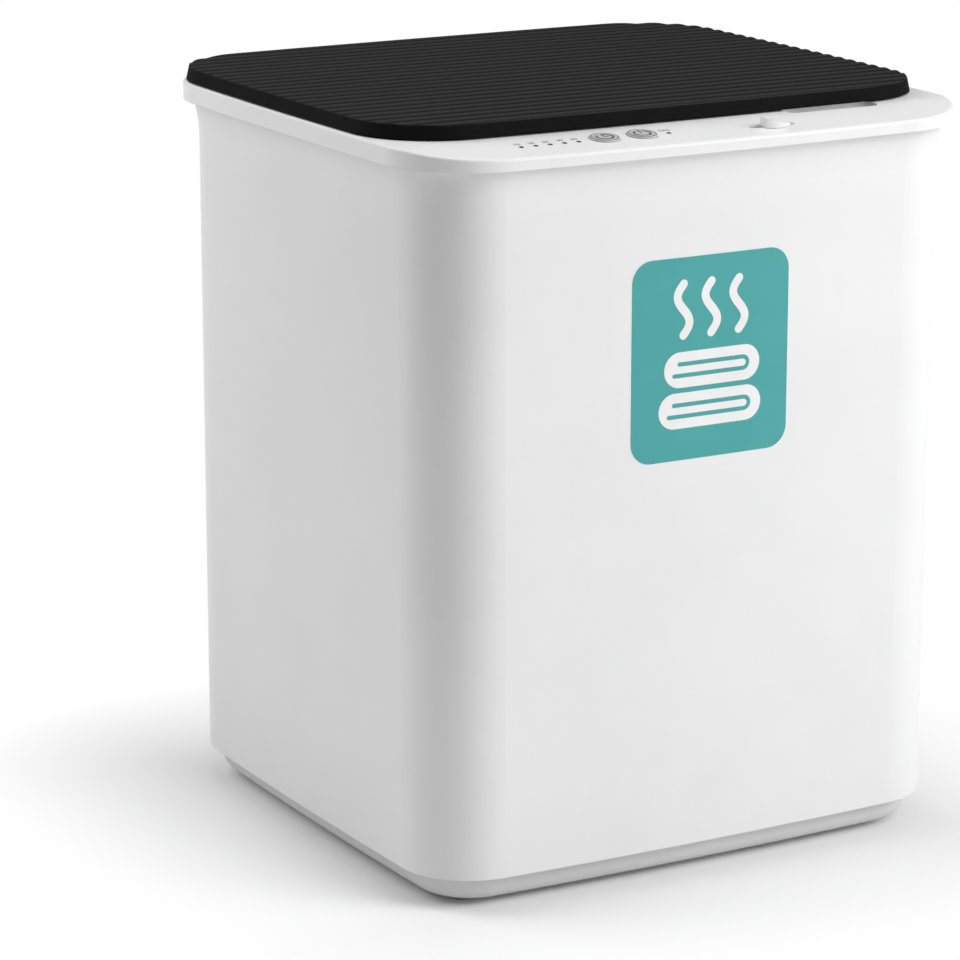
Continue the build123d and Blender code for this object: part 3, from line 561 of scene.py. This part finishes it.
finishes = {
    "housing_white": (moulded_plastic, dict(
        colour=(0.835, 0.835, 0.84), roughness=0.44, grain=0.2, grain_size=0.5 * MM, wave=0.12,
        edge=0.6 * MM)),
    "deck_white": (moulded_plastic, dict(
        colour=(0.85, 0.85, 0.852), roughness=0.38, grain=0.3, wave=0.1, edge=0.5 * MM)),
    "base_grey": (moulded_plastic, dict(
        colour=(0.70, 0.70, 0.70), roughness=0.48, grain=0.5, grain_size=0.6 * MM, wave=0.2,
        edge=0.6 * MM)),
    # The black lid gets painted shade in its rib valleys and on its walls from the groove heights
    "lid_black": (moulded_plastic, dict(
        colour=(0.0295, 0.0295, 0.03), roughness=0.7, grain=0.5, grain_size=0.5 * MM, wave=0.08,
        edge=1.2 * MM, wear=1.3, specular=0.05, painted_groove_shade=(groove_floor, groove_rim, groove_shade))),
    "liner_grey": (moulded_plastic, dict(
        colour=(0.52, 0.53, 0.54), roughness=0.52, grain=0.5, grain_size=0.6 * MM, wave=0.2)),
    "switch_black": (moulded_plastic, dict(
        colour=(0.03, 0.03, 0.03), roughness=0.5, wear=2.0)),
    "sensor": (moulded_plastic, dict(
        colour=(0.07, 0.055, 0.05), roughness=0.4, wear=1.8)),
    "terminal": (moulded_plastic, dict(
        colour=(0.74, 0.72, 0.66), roughness=0.5)),
    "button_grey": (moulded_plastic, dict(
        colour=(0.54, 0.54, 0.54), roughness=0.42, grain=0.3, grain_size=0.3 * MM, wave=0.1,
        edge=0.3 * MM, wear=1.2)),
    "bucket_aluminium": (drawn_metal, dict(
        colour=(0.90, 0.90, 0.905), roughness=0.42, stretch=(700.0, 700.0, 9.0))),
    "steel": (drawn_metal, dict(
        colour=(0.62, 0.62, 0.64), roughness=0.3, stretch=(2400.0, 2400.0, 260.0), lines=0.3)),
    "silicone": (soft_rubber, dict(colour=(0.32, 0.32, 0.33), roughness=0.5)),
    "foot_rubber": (soft_rubber, dict(colour=(0.45, 0.45, 0.45), roughness=0.66)),
    "gland_black": (soft_rubber, dict(colour=(0.03, 0.03, 0.03), roughness=0.55)),
    "felt": (fibre_felt, dict(colour=(0.52, 0.52, 0.50), scale=900.0)),
    "foam": (fibre_felt, dict(colour=(0.70, 0.69, 0.64), scale=1400.0)),
    "heater_film": (heater_foil, dict(colour=(0.42, 0.16, 0.05))),
    "board_green": (circuit_board, dict(
        mask=(0.02, 0.13, 0.05), copper=(0.06, 0.24, 0.10), component=(0.02, 0.025, 0.04))),
    "lens": (smoked_lens, dict(colour=(0.05, 0.05, 0.053))),
    "label_teal": (label_film, dict(colour=(0.052, 0.36, 0.355))),
    "label_white": (label_film, dict(colour=(0.86, 0.86, 0.86))),
    "print_grey": (printed_ink, dict(colour=(0.12, 0.12, 0.12))),
    # The dark print also dresses the painted shade ring at each button's gap
    "print_dark": (printed_ink, dict(colour=(0.04, 0.04, 0.042))),
}
paint = {name: make(name, **settings) for name, (make, settings) in finishes.items()}


def dress(piece, finish):
    piece.data.materials.clear()
    piece.data.materials.append(paint[finish])


def dress_nodes():
    """Gives every carried-over node the finish of its slot in the record."""
    for part in frame["record"]["subparts"]:
        dress(nodes[part["node"]], part["material_slot"])


dress_nodes()


# Flat artwork, as closed outlines

def turn_point(angle):
    """The point at an angle on a circle with radius 1."""
    return Vector((cos(angle), sin(angle)))


def circle_points(centre, radius, count=48, start=0.0, end=2 * pi):
    """Points round a circle or along an arc; a whole circle doesn't repeat its first point."""
    centre = Vector(centre)
    whole = end - start > 2 * pi - same_angle
    return [
        centre + turn_point(start + (end - start) * i / count) * radius
        for i in range(count if whole else count + 1)
    ]


def ring(centre, radius, width):
    """The two outlines of a printed ring."""
    return [circle_points(centre, radius + width / 2), circle_points(centre, radius - width / 2)]


def rounded_rectangle(low, high, radius, count):
    """The outline of a rectangle, with a number of steps round each corner."""
    corners = [
        (high.x - radius, high.y - radius),
        (low.x + radius, high.y - radius),
        (low.x + radius, low.y + radius),
        (high.x - radius, low.y + radius),
    ]
    points = []
    for quarter, corner in enumerate(corners):
        start = quarter * pi / 2
        points += circle_points(corner, radius, count, start, start + pi / 2)
    return points


def band(points, width):
    """The closed outline of an open line drawn with a width and round ends."""
    half = width / 2
    left = []
    right = []
    for i, point in enumerate(points):
        before = points[max(i - 1, 0)]
        after = points[min(i + 1, len(points) - 1)]
        along = (after - before).normalized()
        side = Vector((-along.y, along.x)) * half
        left.append(point + side)
        right.append(point - side)

    def cap(centre, first_side):
        angle = -Vector((1.0, 0.0)).angle_signed(first_side)
        return [centre + turn_point(angle - pi * k / cap_steps) * half for k in range(1, cap_steps)]

    end_cap = cap(points[-1], left[-1] - points[-1])
    start_cap = cap(points[0], right[0] - points[0])
    return left + end_cap + right[::-1] + start_cap


# Flat artwork, as faces laid on a surface

def mesh_of(name, curve, cuts=()):
    """The faces of a filled curve, cut across at some x."""
    holder = bpy.data.objects.new(name, curve)
    scene.collection.objects.link(holder)
    bpy.context.view_layer.update()
    graph = bpy.context.evaluated_depsgraph_get()
    mesh = bpy.data.meshes.new_from_object(holder.evaluated_get(graph))
    bpy.data.objects.remove(holder)
    work = bmesh.new()
    work.from_mesh(mesh)
    bmesh.ops.remove_doubles(work, verts=work.verts, dist=same_point)
    for x in cuts:
        bmesh.ops.bisect_plane(
            work, geom=work.verts[:] + work.edges[:] + work.faces[:],
            plane_co=(x, 0.0, 0.0), plane_no=to_the_right,
        )
    work.to_mesh(mesh)
    work.free()
    return mesh


def flat_faces(name, outlines, cuts=()):
    """Fills closed outlines, with holes where they nest, and cuts the faces across at some x."""
    curve = bpy.data.curves.new(name, "CURVE")
    curve.dimensions = "2D"
    curve.fill_mode = "BOTH"
    for outline in outlines:
        spline = curve.splines.new("POLY")
        spline.points.add(len(outline) - 1)
        for point, place in zip(spline.points, outline):
            point.co = (place.x, place.y, 0.0, 1.0)
        spline.use_cyclic_u = True
    return mesh_of(name, curve, cuts)


def text_faces(name, words, height, centre):
    """Plain characters as flat faces, with a given height, centred on a point."""
    curve = bpy.data.curves.new(name, "FONT")
    curve.body = words
    curve.align_x = "CENTER"
    curve.align_y = "CENTER"
    curve.size = height / capital_share
    curve.resolution_u = 4
    mesh = mesh_of(name, curve)
    mesh.transform(Matrix.Translation((centre[0], centre[1], 0.0)))
    return mesh


def join_meshes(name, meshes):
    work = bmesh.new()
    for mesh in meshes:
        work.from_mesh(mesh)
    joined = bpy.data.meshes.new(name)
    work.to_mesh(joined)
    work.free()
    return joined


def surface_of(node):
    """A ray target made of a node's own faces."""
    mesh = nodes[node].data
    vertices = [v.co.copy() for v in mesh.vertices]
    faces = [tuple(p.vertices) for p in mesh.polygons]
    return BVHTree.FromPolygons(vertices, faces)


def lay_on(name, mesh, target, place, toward, lift, thickness):
    """Lays flat faces on a surface: place takes them into space, and toward is the way to it."""
    work = bmesh.new()
    work.from_mesh(mesh)
    for vertex in work.verts:
        start = place @ Vector((vertex.co.x, vertex.co.y, 0.0))
        hit = target.ray_cast(start - toward * ray_back, toward, ray_reach)[0]
        if hit is None:
            raise ValueError(f"{name} misses the surface at {tuple(start)}")
        vertex.co = hit - toward * lift
    bmesh.ops.recalc_face_normals(work, faces=work.faces)
    for face in work.faces:
        if face.normal.dot(toward) > 0:
            face.normal_flip()
    extruded = bmesh.ops.extrude_face_region(work, geom=work.faces[:])
    raised = [item for item in extruded["geom"] if isinstance(item, bmesh.types.BMVert)]
    bmesh.ops.translate(work, verts=raised, vec=-toward * thickness)
    bmesh.ops.recalc_face_normals(work, faces=work.faces)
    done = bpy.data.meshes.new(name)
    work.to_mesh(done)
    work.free()
    piece = bpy.data.objects.new(name, done)
    scene.collection.objects.link(piece)
    return piece


def middle_of(node):
    low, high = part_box(node)
    return (low + high) / 2


# Front label

def wavy_line(x, low, high):
    """A rising line of warm air, with two bends."""
    shares = [i / air_steps for i in range(air_steps + 1)]
    return [Vector((x + air_swing * sin(2 * pi * s), low + (high - low) * s)) for s in shares]


def folded_towel(low, high):
    """A folded towel seen from its side: a long bar with a rolled end and an open fold."""
    height = high.y - low.y
    middle = (low.y + high.y) / 2
    left = low.x + height * fold_left
    right = high.x - height * fold_right
    reach = height * fold_reach
    outer = rounded_rectangle(low, high, height / 2, towel_end_steps)
    fold = circle_points((right, middle), reach, fold_steps, -0.5 * pi, 0.5 * pi)
    route = [Vector((left, middle - reach))] + fold + [Vector((left + reach, middle + reach))]
    return [outer, band(route, towel_line)]


def label_outlines():
    """Two folded towels, one on the other, with three lines of warm air above them."""
    middle = (label_low.x + label_high.x) / 2
    first_low = label_low.y + towels_above_edge
    outlines = []
    for i in range(2):
        low_y = first_low + i * (towel_height + towel_gap)
        low = Vector((middle - towel_half + upper_towel_left * i, low_y))
        high = Vector((middle + towel_half - upper_towel_right * i, low_y + towel_height))
        outlines += folded_towel(low, high)
    air_low = first_low + 2 * towel_height + towel_gap + air_above_towels
    air_high = label_high.y - air_below_edge
    for shift in (-air_spacing, 0.0, air_spacing):
        outlines.append(band(wavy_line(middle + shift, air_low, air_high), air_line))
    return outlines


def make_label():
    shell = surface_of("outer_shell")
    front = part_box("outer_shell")[0].y
    place = Matrix(((1, 0, 0, 0), (0, 0, 0, front), (0, 1, 0, 0), (0, 0, 0, 1)))
    toward = Vector((0.0, 1.0, 0.0))
    step = (label_high.x - label_low.x) / label_strips
    cuts = [label_low.x + step * i for i in range(1, label_strips)]
    outline = rounded_rectangle(label_low, label_high, label_corner, label_corner_steps)
    label = lay_on("front_label", flat_faces("label", [outline], cuts), shell, place, toward,
                   label_lift, label_thickness)
    dress(label, "label_teal")
    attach(label, "housing")
    art = lay_on("label_artwork", flat_faces("artwork", label_outlines(), cuts), shell, place,
                 toward, label_lift + label_thickness, print_thickness)
    dress(art, "label_white")
    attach(art, "housing")


make_label()


# Print on the control strip and the buttons, and painted shade round the buttons

def strip_axes():
    """The way a button is pressed, and the way up the sloped strip."""
    press = Vector(next(j["axis"] for j in frame["joints"] if j["name"] == "timer_press"))
    slope = to_the_right.cross(press)
    if slope.y < 0:
        slope.negate()
    return press.normalized(), slope.normalized()


press_way, up_slope = strip_axes()


def strip_place(centre):
    """Takes flat artwork to the strip, around a point on the strip."""
    place = Matrix.Identity(4)
    for row in range(3):
        place[row][0] = to_the_right[row]
        place[row][1] = up_slope[row]
        place[row][2] = -press_way[row]
        place[row][3] = centre[row]
    return place


def lens_centres():
    """The middle of each light, from the gaps between the lenses along x."""
    ordered = sorted((v.co for v in nodes["led_lenses"].data.vertices), key=lambda p: p.x)
    groups = [[ordered[0]]]
    for point in ordered[1:]:
        if point.x - groups[-1][-1].x > lens_gap:
            groups.append([])
        groups[-1].append(point)
    centres = []
    for group in groups:
        low = Vector([min(p[k] for p in group) for k in range(3)])
        high = Vector([max(p[k] for p in group) for k in range(3)])
        centres.append((low + high) / 2)
    return centres


def make_numbers():
    """Prints a number above each light and a thin ring round it."""
    centres = lens_centres()
    anchor = centres[0]
    meshes = []
    for words, centre in zip(timer_numbers + ["ON"], centres):
        shift = centre.x - anchor.x
        edge = ring((shift, 0.0), light_ring_radius, light_ring_line)
        meshes.append(text_faces("number", words, number_height, (shift, number_rise)))
        meshes.append(flat_faces("ring", edge))
    numbers = lay_on("strip_numbers", join_meshes("numbers", meshes), surface_of("top_deck"),
                     strip_place(anchor), press_way, print_lift, print_thickness)
    dress(numbers, "print_grey")
    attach(numbers, "housing")


def timer_icon():
    """A clock: a ring that is open at the upper left, with two hands."""
    arc = circle_points((0, 0), icon_radius, icon_steps, *clock_arc)
    hands = [Vector((0.0, clock_hand)), Vector((0.0, 0.0)), Vector((clock_short_hand, 0.0))]
    return [band(arc, icon_line), band(hands, icon_line)]


def power_icon():
    """The usual power sign: a ring open at the top with a bar through the opening."""
    arc = circle_points((0, 0), icon_radius, icon_steps, *power_arc)
    bar = [Vector((0.0, power_bar_top)), Vector((0.0, power_bar_foot))]
    return [band(arc, icon_line), band(bar, icon_line)]


def make_icon(node, body, icon):
    """Prints a sign on a button, with a thin dark ring near the button's edge that is painted shade for the gap
    round the button.
    """
    place = strip_place(middle_of(node.replace("button", "plunger")))
    # The ring is painted shade for the gap round the button, dressed in the dark print
    artwork = icon + ring((0, 0), key_gap_shade_radius, key_gap_shade_line)
    piece = lay_on(node + "_icon", flat_faces("icon", artwork), surface_of(node), place,
                   press_way, print_lift, print_thickness)
    dress(piece, "print_dark")
    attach(piece, body)


make_numbers()
make_icon("timer_button", "timer_key", timer_icon())
make_icon("power_button", "power_key", power_icon())


# Pieces that stand for plain solids

def skin(rings, closed=False):
    """A mesh over rings with equal numbers of points, closed on itself or filled at both ends."""
    work = bmesh.new()
    loops = [[work.verts.new(point) for point in ring_points] for ring_points in rings]
    pairs = list(zip(loops, loops[1:]))
    if closed:
        pairs.append((loops[-1], loops[0]))
    for first, second in pairs:
        count = len(first)
        for i in range(count):
            j = (i + 1) % count
            work.faces.new((first[i], first[j], second[j], second[i]))
    if not closed:
        work.faces.new(loops[0])
        work.faces.new(loops[-1])
    bmesh.ops.recalc_face_normals(work, faces=work.faces)
    return work


def finish_piece(work, name, body, slot, stands_for):
    """Turns a bmesh into a dressed piece that rides on a body and stands for a CAD node."""
    mesh = bpy.data.meshes.new(name)
    work.to_mesh(mesh)
    work.free()
    mesh.shade_smooth()
    mesh.set_sharp_from_angle(angle=smooth_angle)
    piece = bpy.data.objects.new(name, mesh)
    scene.collection.objects.link(piece)
    dress(piece, slot)
    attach(piece, body)
    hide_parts(stands_for)
    return piece


def round_outline(node, level, count, inner=False):
    """Points round a node's outer or inner wall at one height, in order."""
    target = surface_of(node)
    low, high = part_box(node)
    centre = Vector(((low.x + high.x) / 2, (low.y + high.y) / 2, level))
    far = (high - low).length
    points = []
    for i in range(count):
        way = turn_point(2 * pi * i / count).to_3d()
        if inner:
            hit = target.ray_cast(centre, way, far)[0]
        else:
            hit = target.ray_cast(centre + way * far, -way, far)[0]
        points.append(hit)
    return points


# The lid's seal

def make_gasket():
    """The lid's seal: a flat foot against the liner, a narrow neck and a hollow-looking bulb."""
    mirrored = [(-u, h) for u, h in seal_section[-2::-1]]
    low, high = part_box("lid_gasket")
    level = (low.z + high.z) / 2
    outer = round_outline("lid_gasket", level, gasket_points)
    inner = round_outline("lid_gasket", level, gasket_points, True)
    rings = []
    for out, back in zip(outer, inner):
        centre = (out + back) / 2
        half = (out - back) / 2
        rings.append([
            Vector((centre.x + half.x * u, centre.y + half.y * u, low.z + (high.z - low.z) * h))
            for u, h in seal_section + mirrored
        ])
    finish_piece(skin(rings, True), "lid_seal", "lid", "silicone", "lid_gasket")


# The foam in the lid

def outward_ways(points):
    """The level direction out of a closed outline at each of its points."""
    ways = []
    for i, point in enumerate(points):
        along = points[(i + 1) % len(points)] - points[i - 1]
        ways.append(Vector((along.y, -along.x, 0.0)).normalized())
    return ways


def moved_outline(points, ways, inset, level):
    return [
        Vector((point.x - way.x * inset, point.y - way.y * inset, level))
        for point, way in zip(points, ways)
    ]


def make_lid_foam():
    """The foam slab in the lid, with soft edges and slightly uneven faces."""
    low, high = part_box("lid_insulation")
    outline = round_outline("lid_insulation", (low.z + high.z) / 2, wrap_columns)
    ways = outward_ways(outline)
    rings = []
    for inset, rise in foam_edge:
        rings.append(moved_outline(outline, ways, inset * MM, low.z + rise * MM))
    for inset, fall in reversed(foam_edge):
        rings.append(moved_outline(outline, ways, inset * MM, high.z - fall * MM))
    for ring_points in rings[1:-1]:
        for point in ring_points:
            shift = noise.noise(point * foam_noise_scale) * foam_unevenness
            point.z = min(high.z, max(low.z, point.z + shift))
    foam = finish_piece(skin(rings), "lid_foam", "lid", "foam", "lid_insulation")


# The felt round the heater

def felt_grid(work, outer, inner, rows, outside):
    """The vertices of the felt's outer or inner skin, a column at a time."""
    grid = []
    for out, back in zip(outer, inner):
        thick = out - back
        seam = felt_seam if abs(out.x) < felt_seam_half and out.y > 0 else 0.0
        column = []
        for z in rows:
            end = felt_end if z in (rows[0], rows[-1]) else 0.0
            uneven = 0.5 + 0.5 * noise.noise(Vector((out.x, out.y, z)) * felt_noise_scale)
            sunk = end + seam + uneven * felt_unevenness / thick.length
            share = 1.0 - sunk if outside else end
            column.append(work.verts.new((back.x + thick.x * share, back.y + thick.y * share, z)))
        grid.append(column)
    return grid


def felt_cells(outer, inner, rows):
    """The cells of the felt's grid that the plain solid fills, so that its window stays open."""
    solid = surface_of("insulation_sleeve")
    lowest = rows[0] + MM
    highest = rows[-1] - MM

    def filled(column, row):
        middle = (outer[column] + inner[column]) / 2
        start = Vector((middle.x, middle.y, min(max(rows[row], lowest), highest)))
        way = (outer[column] - middle).normalized()
        return solid.ray_cast(start, way, window_reach)[0] is not None

    solid_at = [[filled(i, j) for j in range(wrap_rows + 1)] for i in range(wrap_columns)]
    kept = set()
    for i in range(wrap_columns):
        k = (i + 1) % wrap_columns
        for j in range(wrap_rows):
            if all((solid_at[i][j], solid_at[i][j + 1], solid_at[k][j], solid_at[k][j + 1])):
                kept.add((i, j))
    return kept


def make_felt():
    """The felt wrap round the heater, with its sensor window, soft edges and a seam at the rear."""
    low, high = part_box("insulation_sleeve")
    level = low.z + (high.z - low.z) * felt_level
    outer = round_outline("insulation_sleeve", level, wrap_columns)
    inner = round_outline("insulation_sleeve", level, wrap_columns, True)
    rows = [low.z + (high.z - low.z) * j / wrap_rows for j in range(wrap_rows + 1)]
    work = bmesh.new()
    out = felt_grid(work, outer, inner, rows, True)
    back = felt_grid(work, outer, inner, rows, False)
    kept = felt_cells(outer, inner, rows)
    for i, j in kept:
        k = (i + 1) % wrap_columns
        work.faces.new((out[i][j], out[k][j], out[k][j + 1], out[i][j + 1]))
        work.faces.new((back[i][j + 1], back[k][j + 1], back[k][j], back[i][j]))
        sides = [
            ((i - 1) % wrap_columns, j, (i, j), (i, j + 1)),
            (k, j, (k, j), (k, j + 1)),
            (i, j - 1, (i, j), (k, j)),
            (i, j + 1, (i, j + 1), (k, j + 1)),
        ]
        for column, row, (a, b), (c, d) in sides:
            if (column, row) not in kept:
                work.faces.new((out[a][b], out[c][d], back[c][d], back[a][b]))
    loose = [v for v in work.verts if not v.link_faces]
    bmesh.ops.delete(work, geom=loose, context="VERTS")
    bmesh.ops.recalc_face_normals(work, faces=work.faces)
    felt = finish_piece(work, "felt_wrap", "housing", "felt", "insulation_sleeve")


# Screws

def along_lines(points, way):
    """Groups points by the line along a direction that they lie round."""
    groups = []
    for point in points:
        flat = point - way * point.dot(way)
        for start, group in groups:
            if (start - flat).length < screw_spread:
                group.append(point)
                break
        else:
            groups.append((flat, [point]))
    return [group for _, group in groups]


def measure_screw(points, way, other):
    """A plain screw's seat, shank radius, length, head radius and head height."""
    levels = [point.dot(way) for point in points]
    top = max(levels)
    at_tip = [level > top - same_level for level in levels]
    centre = Vector()
    for axis in (to_the_right, other):
        values = [point.dot(axis) for point, tip in zip(points, at_tip) if tip]
        centre += axis * (min(values) + max(values)) / 2
    reach = [(point - way * level - centre).length for point, level in zip(points, levels)]
    head = max(reach)
    shank = max(r for r, tip in zip(reach, at_tip) if tip)
    seat = max(level for r, level in zip(reach, levels) if r > (head + shank) / 2)
    return centre + way * seat, shank, top - seat, head, seat - min(levels)


def screw_rings(shank, length, head, height):
    """Rings of a hexagon head screw that points along z, with the seat of its head at z = 0."""
    angles = [2 * pi * i / screw_sides for i in range(screw_sides)]
    flat = head * cos(pi / 6)
    pitch = shank * thread_pitch
    corner_rise, corner_share = head_corner

    def ring_at(z, radius_of):
        return [Vector((radius_of(a) * cos(a), radius_of(a) * sin(a), z)) for a in angles]

    def hexagon(a):
        return flat / cos(a % (pi / 3) - pi / 6)

    def threaded(a, z):
        return shank * (1.0 - thread_share * (0.5 - 0.5 * cos(2 * pi * z / pitch - a)))

    rings = [ring_at(-height * rise, lambda a: flat * share) for rise, share in head_dish]
    rings.append(ring_at(-height * corner_rise, lambda a: min(hexagon(a), flat * corner_share)))
    rings += [ring_at(-height * rise, lambda a: hexagon(a) * share) for rise, share in head_sides]
    rings.append(ring_at(0.0, lambda a: shank))
    steps = max(2 * thread_steps, int(thread_steps * length / pitch))
    for k in range(1, steps):
        z = (length - shank * tip_length) * k / steps
        rings.append(ring_at(z, lambda a: threaded(a, z)))
    rings.append(ring_at(length - shank * tip_shoulder, lambda a: shank * (1.0 - thread_share)))
    rings.append(ring_at(length, lambda a: shank * tip_share))
    return rings


def everywhere(point):
    return True


def low_down(point):
    return point.z < between_boards


def high_up(point):
    return point.z > between_boards


def make_screws(name, node, body, ways):
    """Detailed screws in place of a node's plain ones; ways gives each direction and its test."""
    whole = bmesh.new()
    for way, chosen in ways:
        other = way.cross(to_the_right).normalized()
        points = [v.co.copy() for v in nodes[node].data.vertices if chosen(v.co)]
        for group in along_lines(points, way):
            seat, *sizes = measure_screw(group, way, other)
            one = skin([
                [seat + to_the_right * p.x + other * p.y + way * p.z for p in ring_points]
                for ring_points in screw_rings(*sizes)
            ])
            mesh = bpy.data.meshes.new("one_screw")
            one.to_mesh(mesh)
            one.free()
            whole.from_mesh(mesh)
            bpy.data.meshes.remove(mesh)
    finish_piece(whole, name, body, "steel", node)


make_gasket()
make_lid_foam()
make_felt()
make_screws("base_bolts", "base_screws", "housing", [(up, everywhere)])
make_screws("deck_bolts", "deck_screws", "housing", [(up, everywhere)])
make_screws("lid_bolts", "lid_screws", "lid", [(up, everywhere)])
make_screws("lock_bolt", "lock_screw", "slider", [(-press_way, everywhere)])
make_screws("board_bolts", "board_screws", "housing", [(-up, low_down), (-press_way, high_up)])


# Floor and light

def distance_from_footprint(tree):
    """How far a point of the floor lies from the rectangle that the object covers."""
    parts = parts_of(tree, place_of(tree))
    squares = []
    for axis, half in zip("XY", footprint_half):
        beyond = math_of(tree, "SUBTRACT", math_of(tree, "ABSOLUTE", parts[axis]), half)
        beyond = math_of(tree, "MAXIMUM", beyond, 0.0)
        squares.append(times(tree, beyond, beyond))
    return math_of(tree, "SQRT", math_of(tree, "ADD", *squares))


def emission(tree, strength):
    node = tree.nodes.new("ShaderNodeEmission")
    node.inputs["Strength"].default_value = strength
    return node.outputs["Emission"]


def make_floor():
    """A pale floor with the real shadow near the object under a faint painted glow, fading into a painted white
    glow further out that covers the lamps' shadow; clear from below.
    """
    half = floor_size / 2
    corners = [(-half, -half), (half, -half), (half, half), (-half, half)]
    mesh = bpy.data.meshes.new("floor")
    mesh.from_pydata([(x, y, floor_level) for x, y in corners], [], [(0, 1, 2, 3)])
    floor = bpy.data.objects.new("floor", mesh)
    scene.collection.objects.link(floor)

    material, tree, output = blank_material("floor_white")
    diffuse = tree.nodes.new("ShaderNodeBsdfDiffuse")
    diffuse.inputs["Color"].default_value = (*floor_colour, 1.0)
    lifted = tree.nodes.new("ShaderNodeAddShader")
    tree.links.new(diffuse.outputs["BSDF"], lifted.inputs[0])
    tree.links.new(emission(tree, floor_glow), lifted.inputs[1])
    # Painted light: away from the footprint the floor glows plain white for the camera and reflections, covering
    # the lamps' shadow
    far = remap(tree, distance_from_footprint(tree), start=floor_painted_white_start, end=floor_painted_white_end)
    painted_white_floor = blend_shaders(tree, far, lifted.outputs["Shader"], emission(tree, 1.0))
    direct = any_ray(tree, "Is Camera Ray", "Is Glossy Ray", "Is Transmission Ray")
    above = blend_shaders(tree, direct, diffuse.outputs["BSDF"], painted_white_floor)
    side = tree.nodes.new("ShaderNodeNewGeometry")
    clear = tree.nodes.new("ShaderNodeBsdfTransparent")
    both = blend_shaders(tree, side.outputs["Backfacing"], above, clear.outputs["BSDF"])
    tree.links.new(both, output.inputs["Surface"])
    mesh.materials.append(material)


def background(tree, strength):
    node = tree.nodes.new("ShaderNodeBackground")
    node.inputs["Color"].default_value = (1.0, 1.0, 1.0, 1.0)
    node.inputs["Strength"].default_value = strength
    return node.outputs["Background"]


def make_world():
    """An even grey surround for the light, shown as plain white to the camera."""
    world = bpy.data.worlds.new("studio")
    scene.world = world
    world.use_nodes = True
    tree = world.node_tree
    tree.nodes.clear()
    output = tree.nodes.new("ShaderNodeOutputWorld")
    direct = any_ray(tree, "Is Camera Ray", "Is Transmission Ray")
    shown = blend_shaders(tree, direct, background(tree, world_strength), background(tree, 1.0))
    tree.links.new(shown, output.inputs["Surface"])


def make_lamp(name, azimuth, elevation, distance, power):
    """A rectangular lamp that faces the object."""
    data = bpy.data.lights.new(name, "AREA")
    data.shape = "RECTANGLE"
    data.size = lamp_width
    data.size_y = lamp_height
    data.energy = power
    lamp = bpy.data.objects.new(name, data)
    scene.collection.objects.link(lamp)
    turn = radians(azimuth)
    rise = radians(elevation)
    way = Vector((sin(turn) * cos(rise), -cos(turn) * cos(rise), sin(rise)))
    lamp.location = up * lamp_aim + way * distance
    lamp.rotation_mode = "QUATERNION"
    lamp.rotation_quaternion = (-way).to_track_quat("-Z", "Y")


make_floor()
make_world()
for name, setting in lamps.items():
    make_lamp(name, *setting)
